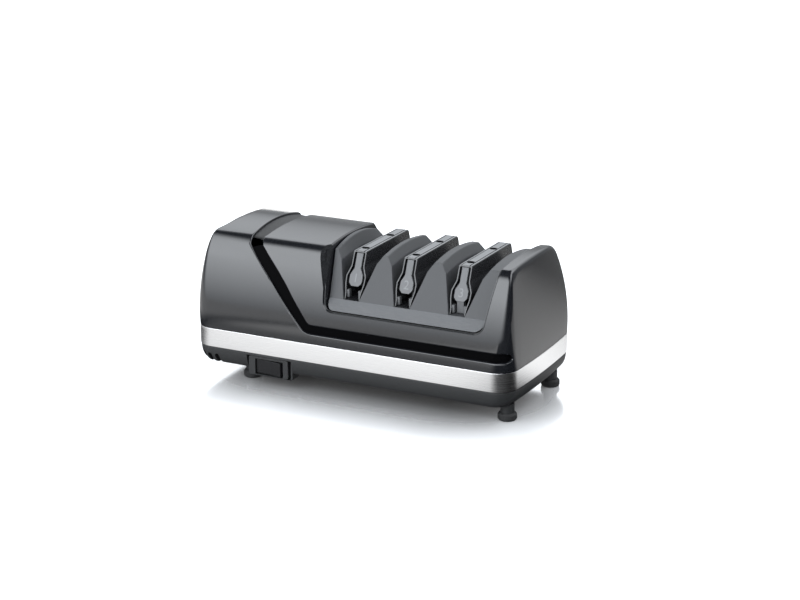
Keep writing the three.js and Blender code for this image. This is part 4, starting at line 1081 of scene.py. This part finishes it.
base = {
    "bottom": 13.8,
    "top": 27.5,
    "topInset": 0.4,
    "endTaper": 8,
    "sideTaper": 5.5,
    "steps": 14,
    "rim": 1.5,
    "rimBottom": 25.3,
    "hollowTop": 28,
    "rimHollow": (27.4, 50),
    "edge": 0.6,
    "screw": {"boss": 4.6, "bossTop": 43.1, "bore": 1.8, "head": 3.2, "sink": 4},
    "spigotBore": 3.9,
    "cradles": {"xs": (-81.5, -61), "half": 24.5, "top": 32.7},
    "pedestals": {"xs": (101.2, 110.3), "half": 20, "top": 24.3},
    "glandBoss": {"radius": 6.2, "span": (50.7, 62)},
    "vents": {"first": -132, "pitch": 6.75, "count": 3, "width": 3.8, "length": 12, "z": 16, "slant": 15},
    "gap": 0.3,
}
footPlaces = {
    "front_left": (-97.4, -43.6),
    "rear_left": (-97.4, 43.6),
    "front_right": (130.5, -43.6),
    "rear_right": (130.5, 43.6),
}
screwPlaces = [(-112, -51), (-112, 51), (118, -51), (118, 51)]
switch = {
    "x": -71,
    "z": 16.3,
    "left": -90.5,
    "right": -49.9,
    "bottom": 8.2,
    "top": 25.4,
    "front": -62.85,
    "back": -50.35,
    "corner": 2,
    "collarStep": 1.3,
    "collarWidth": 3.6,
    "gap": 2.1,
    "pocketHalf": 12.85,
    "pocketHalfHeight": 6.7,
    "pocketBack": -51.8,
    "faceDepth": 6,
    "moatDepth": 4.2,
    "hingeHalf": 7.4,
    "collarEdge": 0.7,
    "faceEdge": 0.6,
    "pocketEdge": 0.8,
}
hatch = {
    "x": 44.35, "length": 52, "width": 36, "flange": 1, "ledge": 2.2, "plug": 2.6, "corner": 2.5,
    "grip": 6, "gripPlace": 12, "gripDepth": 0.6}
gland = {
    "x": -84, "z": 21.7, "radius": 4.4, "flangeRadius": 5.8, "bore": 3.2, "face": 63.65, "rim": 64.8,
    "collar": (47.75, 50.3), "boreStart": 45}
underside = 5


def baseForm(inset, bottom, top, name):
    rings = []
    for step in range(base["steps"] + 1):
        angle = math.pi / 2 * step / base["steps"]
        inward = 1 - math.sin(angle)
        insets = [base["topInset"] + base[taper] * inward + inset for taper in ("endTaper", "sideTaper")]
        rings.append(plainRing(bottom + (top - bottom) * (1 - math.cos(angle)), *insets))
    return built(name, loft, rings)


def rimForm(inset, low, high):
    return built("rim", loft, [plainRing(z, inset, inset) for z in (low, high)])


def ventTools():
    vents = base["vents"]
    half, reach = vents["width"] / 2, vents["length"] / 2
    turn = Matrix.Rotation(math.radians(-vents["slant"]), 4, "Y")
    tools = []
    for i in range(vents["count"]):
        tool = pushed("vent", 1, roundedBox(-half, -reach, half, reach, half * 0.95, 6), -11, 11)
        place = (vents["first"] + i * vents["pitch"], -body["depth"] / 2, vents["z"])
        tool.data.transform(Matrix.Translation(place) @ turn)
        tools.append(tool)
    return tools


def hatchOutline(margin):
    halfLength, halfWidth = hatch["length"] / 2 + margin, hatch["width"] / 2 + margin
    return roundedBox(
        hatch["x"] - halfLength, -halfWidth, hatch["x"] + halfLength, halfWidth, hatch["corner"], 6)


def hatchPlate(margin, low, high):
    return pushed("plate", 2, hatchOutline(margin), low, high)


def makeBase():
    low, wall, gap, screw = base["bottom"], body["wall"], base["gap"], base["screw"]
    glandPlace = (gland["x"], 0, gland["z"])
    tray = baseForm(0, low, base["top"], "base")
    roundEdges(tray, 60, base["edge"], 3, lambda edge: edge.verts[0].co.z > 20)
    carve(tray, [rimForm(base["rim"], base["rimBottom"], body["bandTop"])], "UNION")
    hollow = baseForm(wall, low + wall, base["hollowTop"], "hollow")
    carve(hollow, [rimForm(base["rim"] + wall, *base["rimHollow"])], "UNION")
    standing = [rodShape(screw["boss"], low + 0.5, screw["bossTop"], (x, y, 0)) for x, y in screwPlaces]
    for row in (base["cradles"], base["pedestals"]):
        for x in row["xs"]:
            standing.append(blockShape((x, -row["half"], low + 0.5), (x + wall, row["half"], row["top"])))
    boss = base["glandBoss"]
    standing.append(rodShape(boss["radius"], *boss["span"], glandPlace, alongY=True))
    carve(hollow, standing)
    carve(tray, [hollow])
    cuts = []
    for x, y in screwPlaces:
        cuts.append(rodShape(screw["bore"], underside, 50, (x, y, 0)))
        cuts.append(rodShape(screw["head"], underside, low + screw["sink"], (x, y, 0)))
    for x, y in footPlaces.values():
        cuts.append(rodShape(base["spigotBore"], underside, low + wall + 2, (x, y, 0)))
    cuts += ventTools()
    cuts.append(blockShape(
        (switch["left"] - gap, -90, underside),
        (switch["right"] + gap, switch["back"] + gap, switch["top"] + gap)))
    cuts.append(hatchPlate(0, underside, low + hatch["flange"] + gap))
    cuts.append(hatchPlate(-hatch["ledge"], 10, low + wall + 2))
    sunk = ((gland["radius"], gland["boreStart"]), (gland["flangeRadius"], gland["face"] - gap))
    cuts += [rodShape(radius + gap, start, outsideY, glandPlace, alongY=True) for radius, start in sunk]
    carve(tray, cuts)
    finishPiece(tray, "base_tray_shell", "base_charcoal", ["base_tray"], angle=32)


makeBand()
makeBase()

print("stage: feet, hatch and gland")

foot = {"radius": 7.6, "height": 6.4, "lip": 1.4, "sole": 2.2, "stem": 5.6, "spigot": 3.6, "spigotTop": 17.3}


def makeFeet():
    radius, height, sole, stem, spigot, top = (
        foot[name] for name in ("radius", "height", "sole", "stem", "spigot", "spigotTop"))
    bore, under = stem + 0.25, base["bottom"] - 0.25
    shoeProfile = [
        (0, 0, 0), (radius - 1, 0, 0.8), (radius, 1.2, 0.8), (radius, height - 1.6, 1.2),
        (radius - foot["lip"], height, 0.5), (bore, height, 0.25), (bore, sole, 0.2), (0, sole, 0)]
    stemProfile = [
        (0, sole + 0.3, 0), (stem, sole + 0.3, 0.3), (stem - 0.1, under, 0.2), (spigot, under, 0.1),
        (spigot, top, 0.5), (0, top, 0)]
    for corner, (x, y) in footPlaces.items():
        shoe = built("shoe", turned, shoeProfile, (x, y, 0))
        finishPiece(shoe, f"rubber_foot_{corner}", "foot_rubber", [f"foot_{corner}"])
        stalk = built("stem", turned, stemProfile, (x, y, 0))
        finishPiece(stalk, f"stem_{corner}", "base_charcoal", [f"foot_stem_{corner}"])


def makeHatch():
    low, gap = base["bottom"], base["gap"]
    plate = hatchPlate(-gap, low, low + hatch["flange"])
    plug = hatchPlate(-hatch["ledge"] - gap, low + 0.2, low + hatch["flange"] + hatch["plug"])
    carve(plate, [plug], "UNION")
    gripX = hatch["x"] + hatch["length"] / 2 - hatch["gripPlace"]
    carve(plate, [rodShape(hatch["grip"], underside, low + hatch["gripDepth"], (gripX, 0, 0))])
    roundEdges(plate, 50, 0.2, 2)
    finishPiece(plate, "hatch_plate", "base_charcoal", ["filings_hatch"], body="hatch")


def makeGland():
    face, radius, bore, flange, rim = (
        gland[name] for name in ("face", "radius", "bore", "flangeRadius", "rim"))
    start, end = gland["collar"]
    bush = built("gland", turned, [
        (bore, start, 0), (radius + 0.6, start, 0.3), (radius + 0.6, end, 0.3), (radius, end, 0.1),
        (radius, face, 0.1), (flange, face, 0.2), (flange, rim, 0.5), (bore + 0.4, rim, 0.3),
        (bore, rim - 0.6, 0.2), (bore, start, 0),
    ], (gland["x"], 0, gland["z"]), alongY=True)
    finishPiece(bush, "cord_bush", "foot_rubber", ["cord_gland"])


makeFeet()
makeHatch()
makeGland()

print("stage: switch")

rocker = {
    "half": 11.9, "height": 11.7, "face": 5.6, "dish": 1.2, "dishRadius": 14, "backDepth": 2.5, "tilt": 7,
    "pivotY": -57.45, "pin": 1.2, "pinReach": 1.2, "tipRadius": 0.7, "backRadius": 0.6, "edge": 0.45}


def makeBezel():
    front, rear, radius, x, z = (switch[name] for name in ("front", "back", "corner", "x", "z"))
    left, right, bottom, top = (switch[name] for name in ("left", "right", "bottom", "top"))
    faceRight = right - switch["collarWidth"]
    collar = pushed(
        "bezel", 1, roundedBox(left, bottom, right, top, radius, 8), front + switch["collarStep"], rear)
    roundEdges(collar, 50, switch["collarEdge"], 3, lambda edge: max(v.co.y for v in edge.verts) < rear - 1)
    face = pushed("bezel_face", 1, roundedBox(
        left + 0.4, bottom + 0.5, faceRight, top - 0.4, radius, 8), front, front + switch["faceDepth"])
    roundEdges(face, 50, switch["faceEdge"], 3, lambda edge: max(v.co.y for v in edge.verts) < front + 1)
    moat = pushed(
        "moat", 1, roundedBox(left - 1, bottom + 0.3, faceRight + switch["gap"], top - 0.2, radius, 8),
        front - 2, front + switch["moatDepth"])
    carve(collar, [moat])
    carve(collar, [face], "UNION")
    halfWidth, halfHeight = switch["pocketHalf"], switch["pocketHalfHeight"]
    pocket = blockShape(
        (x - halfWidth, front - 5, z - halfHeight), (x + halfWidth, switch["pocketBack"], z + halfHeight))
    roundEdges(
        pocket, 50, switch["pocketEdge"], 3, lambda edge: abs(edge.verts[0].co.y - edge.verts[1].co.y) > 1)
    reach = switch["hingeHalf"]
    hinge = rodShape(rocker["pin"] + base["gap"], z - reach, z + reach, (x, rocker["pivotY"], 0), segments=24)
    carve(collar, [pocket, hinge])
    finishPiece(collar, "switch_frame", "base_charcoal", ["switch_bezel"])


def makeRocker():
    half, depth, back, height = rocker["half"], rocker["face"], rocker["backDepth"], rocker["height"] / 2
    tip, heel = rocker["tipRadius"], rocker["backRadius"]
    outline = roundedPath([
        (-half, -depth, tip), (0, rocker["dish"] - depth, rocker["dishRadius"]), (half, -depth, tip),
        (half, back, heel), (-half, back, heel)], 8, closed=True)
    key = pushed("rocker", 2, outline, -height, height)
    roundEdges(key, 50, rocker["edge"], 3)
    reach = height + rocker["pinReach"]
    carve(key, [rodShape(rocker["pin"], -reach, reach, (0, 0, 0), segments=24)], "UNION")
    key.data.transform(Matrix.Rotation(math.radians(-rocker["tilt"]), 4, "Z"))
    key.data.transform(Matrix.Translation((switch["x"], rocker["pivotY"], switch["z"])))
    finishPiece(key, "rocker_key", "switch_black", ["switch_rocker"], body="rocker")


makeBezel()
makeRocker()

print("stage: guide block")

stageXs = (-1.4, 43.1, 90.1)
pastEnds = (-60, 160)
guide = {
    "slotFloor": 80.3,
    "slotHalf": 6.8,
    "flankHeight": 28,
    "flankAngle": 17.2,
    "chamferHeight": 7,
    "chamferWidth": 4.9,
    "crown": 3.4,
    "lipTop": 52,
    "ridgeTop": 34.5,
    "underside": 66.2,
    "wall": 2.5,
    "edge": 0.45,
    "shoulderRound": 5,
    "shoulderLift": 2.4,
    "gap": 0.8,
    "topRound": 1.3,
    "half": 64,
    "steps": 40,
    "opening": (6.5, 17.4),
    "openingBottom": 71,
    "belowHollow": (60, 72),
    "hollowHalf": 60,
}
slotFloor = guide["slotFloor"]
ridgeTopZ = slotFloor + guide["flankHeight"] + guide["chamferHeight"]
flankRun = guide["flankHeight"] * math.tan(math.radians(guide["flankAngle"]))


def blockRing(y):
    lift = guide["crown"] * max(0, 1 - (y / guide["ridgeTop"]) ** 2)
    left, right, low = window["leftTop"] - 2.5, window["rightTop"] + 2.5, guide["underside"]
    shoulderZ = ridgeTopZ + lift * (1 + guide["shoulderLift"] / guide["crown"])
    flankOut = guide["slotHalf"] + flankRun
    corners = [(right, low, 0), (right, ridgeTopZ + lift, 0)]
    for x in reversed(stageXs):
        for sign in (1, -1):
            topZ = shoulderZ if x == stageXs[0] and sign == -1 else ridgeTopZ + lift
            points = [
                (x + sign * (flankOut + guide["chamferWidth"]), topZ, guide["topRound"]),
                (x + sign * flankOut, slotFloor + guide["flankHeight"] + lift, guide["shoulderRound"]),
                (x + sign * guide["slotHalf"], slotFloor, 0.5),
            ]
            corners.extend(points[::sign])
    corners += [(left, shoulderZ, 0), (left, low, 0)]
    return [Vector((p.x, y, p.y)) for p in roundedPath(corners, 5, closed=True)]


# A profile of (y, z) and its mirror, right through the body
def bothSides(profile, low, high):
    return pushed("ends", 0, list(profile) + [(-y, z) for y, z in reversed(profile)], low, high)


def blockEnd(z):
    return guide["lipTop"] - (guide["lipTop"] - guide["ridgeTop"]) * (z - slotFloor) / (ridgeTopZ - slotFloor)


# The space under the block, and one space in each ridge and the right shoulder
def blockHollows(lipY):
    low, wall = slotFloor - guide["wall"], guide["wall"]
    topZ = slotFloor + guide["flankHeight"] - wall
    lowOut = guide["slotHalf"] + wall / math.cos(math.radians(guide["flankAngle"]))
    topOut = lowOut + flankRun * (topZ - low) / guide["flankHeight"]
    leftWall, rightWall = window["leftLow"] + wall + 0.3, window["rightLow"] - wall - 0.3
    innerY = halfDepth(window["floor"]) - 5.3
    slope = (lipY - guide["lipTop"]) / (slotFloor - window["floor"] - 0.3)
    bottom, bend = guide["belowHollow"]
    tools = [bothSides(
        [(innerY, bottom), (innerY, bend), (innerY - slope * (low - bend), low)], leftWall, rightWall)]
    for i, x in enumerate(stageXs):
        ends = (rightWall, rightWall)
        if i + 1 < len(stageXs):
            ends = (stageXs[i + 1] - lowOut, stageXs[i + 1] - topOut)
        ridge = pushed("ridge_hollow", 1, [
            (x + lowOut, low - 0.3), (ends[0], low - 0.3), (ends[1], topZ), (x + topOut, topZ),
        ], -guide["hollowHalf"], guide["hollowHalf"])
        carve(ridge, [bothSides(
            [(blockEnd(low) - wall, low - 5), (blockEnd(topZ) - wall, topZ + 5)], *pastEnds)], "INTERSECT")
        tools.append(ridge)
    return tools


def makeBlock():
    half, steps = guide["half"], guide["steps"]
    ys = [-half + 2 * half * step / steps for step in range(steps + 1)]
    shape = built("block", loft, [blockRing(y) for y in ys])
    lipY = halfDepth(window["floor"]) - 0.3
    ends = bothSides([
        (lipY, window["floor"] + 0.3), (guide["lipTop"], slotFloor), (blockEnd(130), 130)], *pastEnds)
    carve(shape, [ends, windowTool(-guide["gap"], "window_fit")], "INTERSECT")
    roundEdges(shape, 32, guide["edge"], 2)
    halfX, halfY = guide["opening"]
    openings = [
        blockShape((x - halfX, -halfY, guide["openingBottom"]), (x + halfX, halfY, slotFloor + 0.6))
        for x in stageXs]
    carve(shape, blockHollows(lipY) + openings)
    giveMaterials(shape, ("guide_grey", "lip_grey", "sleeve_black"))
    for face in shape.data.polygons:
        x, z = face.center.x, face.center.z
        # Slot floors of the first two stages get the sleeve black, as painted shade under the folded sheets
        inSlot = min(abs(x - stageX) for stageX in stageXs[:2]) < guide["slotHalf"]
        if inSlot and abs(z - slotFloor) < 0.5 and face.normal.z > 0.9:
            face.material_index = 2
        # Upward-slanting faces below the slot floor get the lighter grey, as painted light from above
        if z < slotFloor - 0.3 and 0.5 < face.normal.z < 0.9 and abs(face.normal.x) < 0.2:
            face.material_index = 1
    finishPiece(shape, "guide_bridge", "guide_grey", ["guide_block"], angle=18)


makeBlock()

print("stage: spring guides and spines")

# Half sections as (half width, rise over the slot floor, rounding)
fold = {
    "outer": (
        (6.5, 0.3, 0), (6.9, 5, 6), (8.5, 12, 8), (8.7, 17.6, 2.5), (5.7, 25, 4), (5.5, 36.5, 0.9),
        (3.8, 36.5, 0.2), (3.7, 35.9, 0.1), (3.2, 35.9, 0.1), (3.1, 36.6, 0.25)),
    "inner": ((5.6, -5, 0), (6, 5, 5), (7.5, 12, 7), (7.7, 17.2, 2.2), (4.7, 24.7, 3.6), (4.5, 35.2, 0.5)),
    "top": 36.6,
    "topDepth": 35,
    "rearTopDepth": 40,
    "footDepth": 50.5,
    "rearRadius": 4.5,
    "notch": (5.8, 5.2),
    "notchPlaces": (-26, 17),
    "notchSpan": (24, 49),
    "legWindow": (18.7, 5.4),
    "edge": 0.22,
    "half": 51,
    "hollowHalf": 55,
    "steps": 28,
}
spine = {
    "side": ((3.2, 10, 1), (5.7, 12.6, 2.6), (5.7, 18.4, 3), (2.9, 23.2, 3), (2.9, 34.9, 0)),
    "post": (3, 5, 0.3, 13.6),
    "postRise": 10,
    "setbacks": (18, 18, 1.5),
    "notchExtra": 4,
    "edge": 0.45,
}
digit = {"size": 10, "rise": 16, "sink": 0.3, "thickness": 0.16, "steps": 6}
clip = {"low": 0.6, "high": 7, "inner": 3.9, "outer": 6.2, "length": 4, "edge": 0.4}


def stageShape(x, corners, half):
    path = roundedPath(list(corners) + [(-a, b, r) for a, b, r in reversed(corners)], 6)
    ys = [half * (2 * step / fold["steps"] - 1) for step in range(fold["steps"] + 1)]
    return built("stage", loft, [[Vector((x + p.x, y, slotFloor + p.y)) for p in path] for y in ys])


def guideEnd(rise, top="topDepth"):
    return fold["footDepth"] + (fold[top] - fold["footDepth"]) * rise / fold["top"]


# Leaning ends with a sharp front and a rounded, longer rear
def endsTool(inset):
    high = fold["top"] + 8
    topZ = slotFloor + fold["top"]
    rearEnd = guideEnd(fold["top"], "rearTopDepth") - inset
    path = roundedPath([
        (-guideEnd(-0.3) + inset, slotFloor - 0.3, 0),
        (guideEnd(-0.3) - inset, slotFloor - 0.3, 0),
        (rearEnd, topZ, fold["rearRadius"]),
        (rearEnd - 2.4 * fold["rearRadius"], topZ + 0.6, 3),
        (0, slotFloor + high, 0),
        (-guideEnd(high) + inset, slotFloor + high, 0),
    ], closed=True)
    return pushed("ends", 0, path, *pastEnds)


def notchTools(x, extra=0):
    length, width = fold["notch"]
    half = (length + extra) / 2
    low, high = (slotFloor + rise for rise in fold["notchSpan"])
    tools = []
    for y in fold["notchPlaces"]:
        outline = roundedBox(x - half, y - width / 2, x + half, y + width / 2, width * 0.45, 5)
        tools.append(pushed("notch", 2, outline, low, high))
    return tools


def makeGuide(x, index):
    sheet = stageShape(x, fold["outer"], fold["half"])
    carve(sheet, [stageShape(x, fold["inner"], fold["hollowHalf"])])
    carve(sheet, [endsTool(0)], "INTERSECT")
    reach, rise = fold["legWindow"]
    carve(sheet, [blockShape((x - 20, -reach, 70), (x + 20, reach, slotFloor + rise))] + notchTools(x))
    roundEdges(sheet, 50, fold["edge"], 2)
    mergeClose(sheet)
    giveMaterials(sheet, ("sleeve_black", "strip_grey"))
    # Up-facing top faces of the sheet get the lighter grey, as painted light
    for face in sheet.data.polygons:
        if face.normal.z > 0.8 and face.center.z > slotFloor + fold["top"] - 0.4:
            face.material_index = 1
    finishPiece(sheet, f"spring_fold_{index}", "sleeve_black", [f"spring_guide_{index}"], angle=30)


def makeSpine(x, index):
    plate = stageShape(x, spine["side"], fold["half"])
    half, depth, low, high = spine["post"]
    front = guideEnd(spine["postRise"]) - spine["setbacks"][index - 1]
    for sign in (-1, 1):
        start, end = sorted((sign * front, sign * (front - depth)))
        post = blockShape((x - half, start, slotFloor + low), (x + half, end, slotFloor + high))
        carve(plate, [post], "UNION")
    carve(plate, [endsTool(0.3)], "INTERSECT")
    carve(plate, notchTools(x, spine["notchExtra"]))
    roundEdges(plate, 45, spine["edge"], 3)
    mergeClose(plate)
    finishPiece(plate, f"bulb_spine_{index}", "spine_grey", [f"stage_spine_{index}"], angle=32)


# Plain stage numbers, raised a little on the bulbs
def makeNumber(x, index, side):
    text = bpy.data.curves.new("number", "FONT")
    text.body = str(index)
    text.size = digit["size"]
    text.align_x = "CENTER"
    text.align_y = "CENTER"
    text.extrude = digit["thickness"]
    text.resolution_u = digit["steps"]
    holder = linked("number", text)
    bpy.context.view_layer.update()
    mesh = bpy.data.meshes.new_from_object(holder.evaluated_get(bpy.context.evaluated_depsgraph_get()))
    bpy.data.objects.remove(holder)
    bpy.data.curves.remove(text)
    with editing(mesh) as bm:
        bmesh.ops.remove_doubles(bm, verts=bm.verts, dist=0.001)
        bmesh.ops.recalc_face_normals(bm, faces=bm.faces)
    slope = math.atan2(fold["footDepth"] - fold["topDepth"], fold["top"])
    mesh.transform(Matrix.Rotation(math.pi / 2 - slope, 4, "X"))
    rise = digit["rise"]
    mesh.transform(Matrix.Translation((0, digit["sink"] - guideEnd(rise), slotFloor + rise)))
    if side > 0:
        mesh.transform(Matrix.Rotation(math.pi, 4, "Z"))
        mesh.transform(Matrix.Translation((0, guideEnd(rise, "rearTopDepth") - guideEnd(rise), 0)))
    mesh.transform(Matrix.Translation((x, 0, 0)))
    end = "front" if side < 0 else "rear"
    finishPiece(linked("number", mesh), f"stage_number_{index}_{end}", "spine_grey", material="number_grey")


# Small clips that hold the feet of the folded sheet
def makeClips(x, index):
    bm = bmesh.new()
    start = guideEnd(clip["high"]) - 0.3
    for across in (-1, 1):
        for along in (-1, 1):
            xs = sorted((x + across * clip["inner"], x + across * clip["outer"]))
            ys = sorted((along * start, along * (start - clip["length"])))
            block(bm, (xs[0], ys[0], slotFloor + clip["low"]), (xs[1], ys[1], slotFloor + clip["high"]))
    shape = shapeObject(bm, "clips")
    roundEdges(shape, 50, clip["edge"], 2)
    finishPiece(shape, f"sheet_clips_{index}", "spine_grey", angle=32)


for index, x in enumerate(stageXs, 1):
    makeClips(x, index)
    makeGuide(x, index)
    makeSpine(x, index)
    for side in (-1, 1):
        makeNumber(x, index, side)

print("stage: finish")
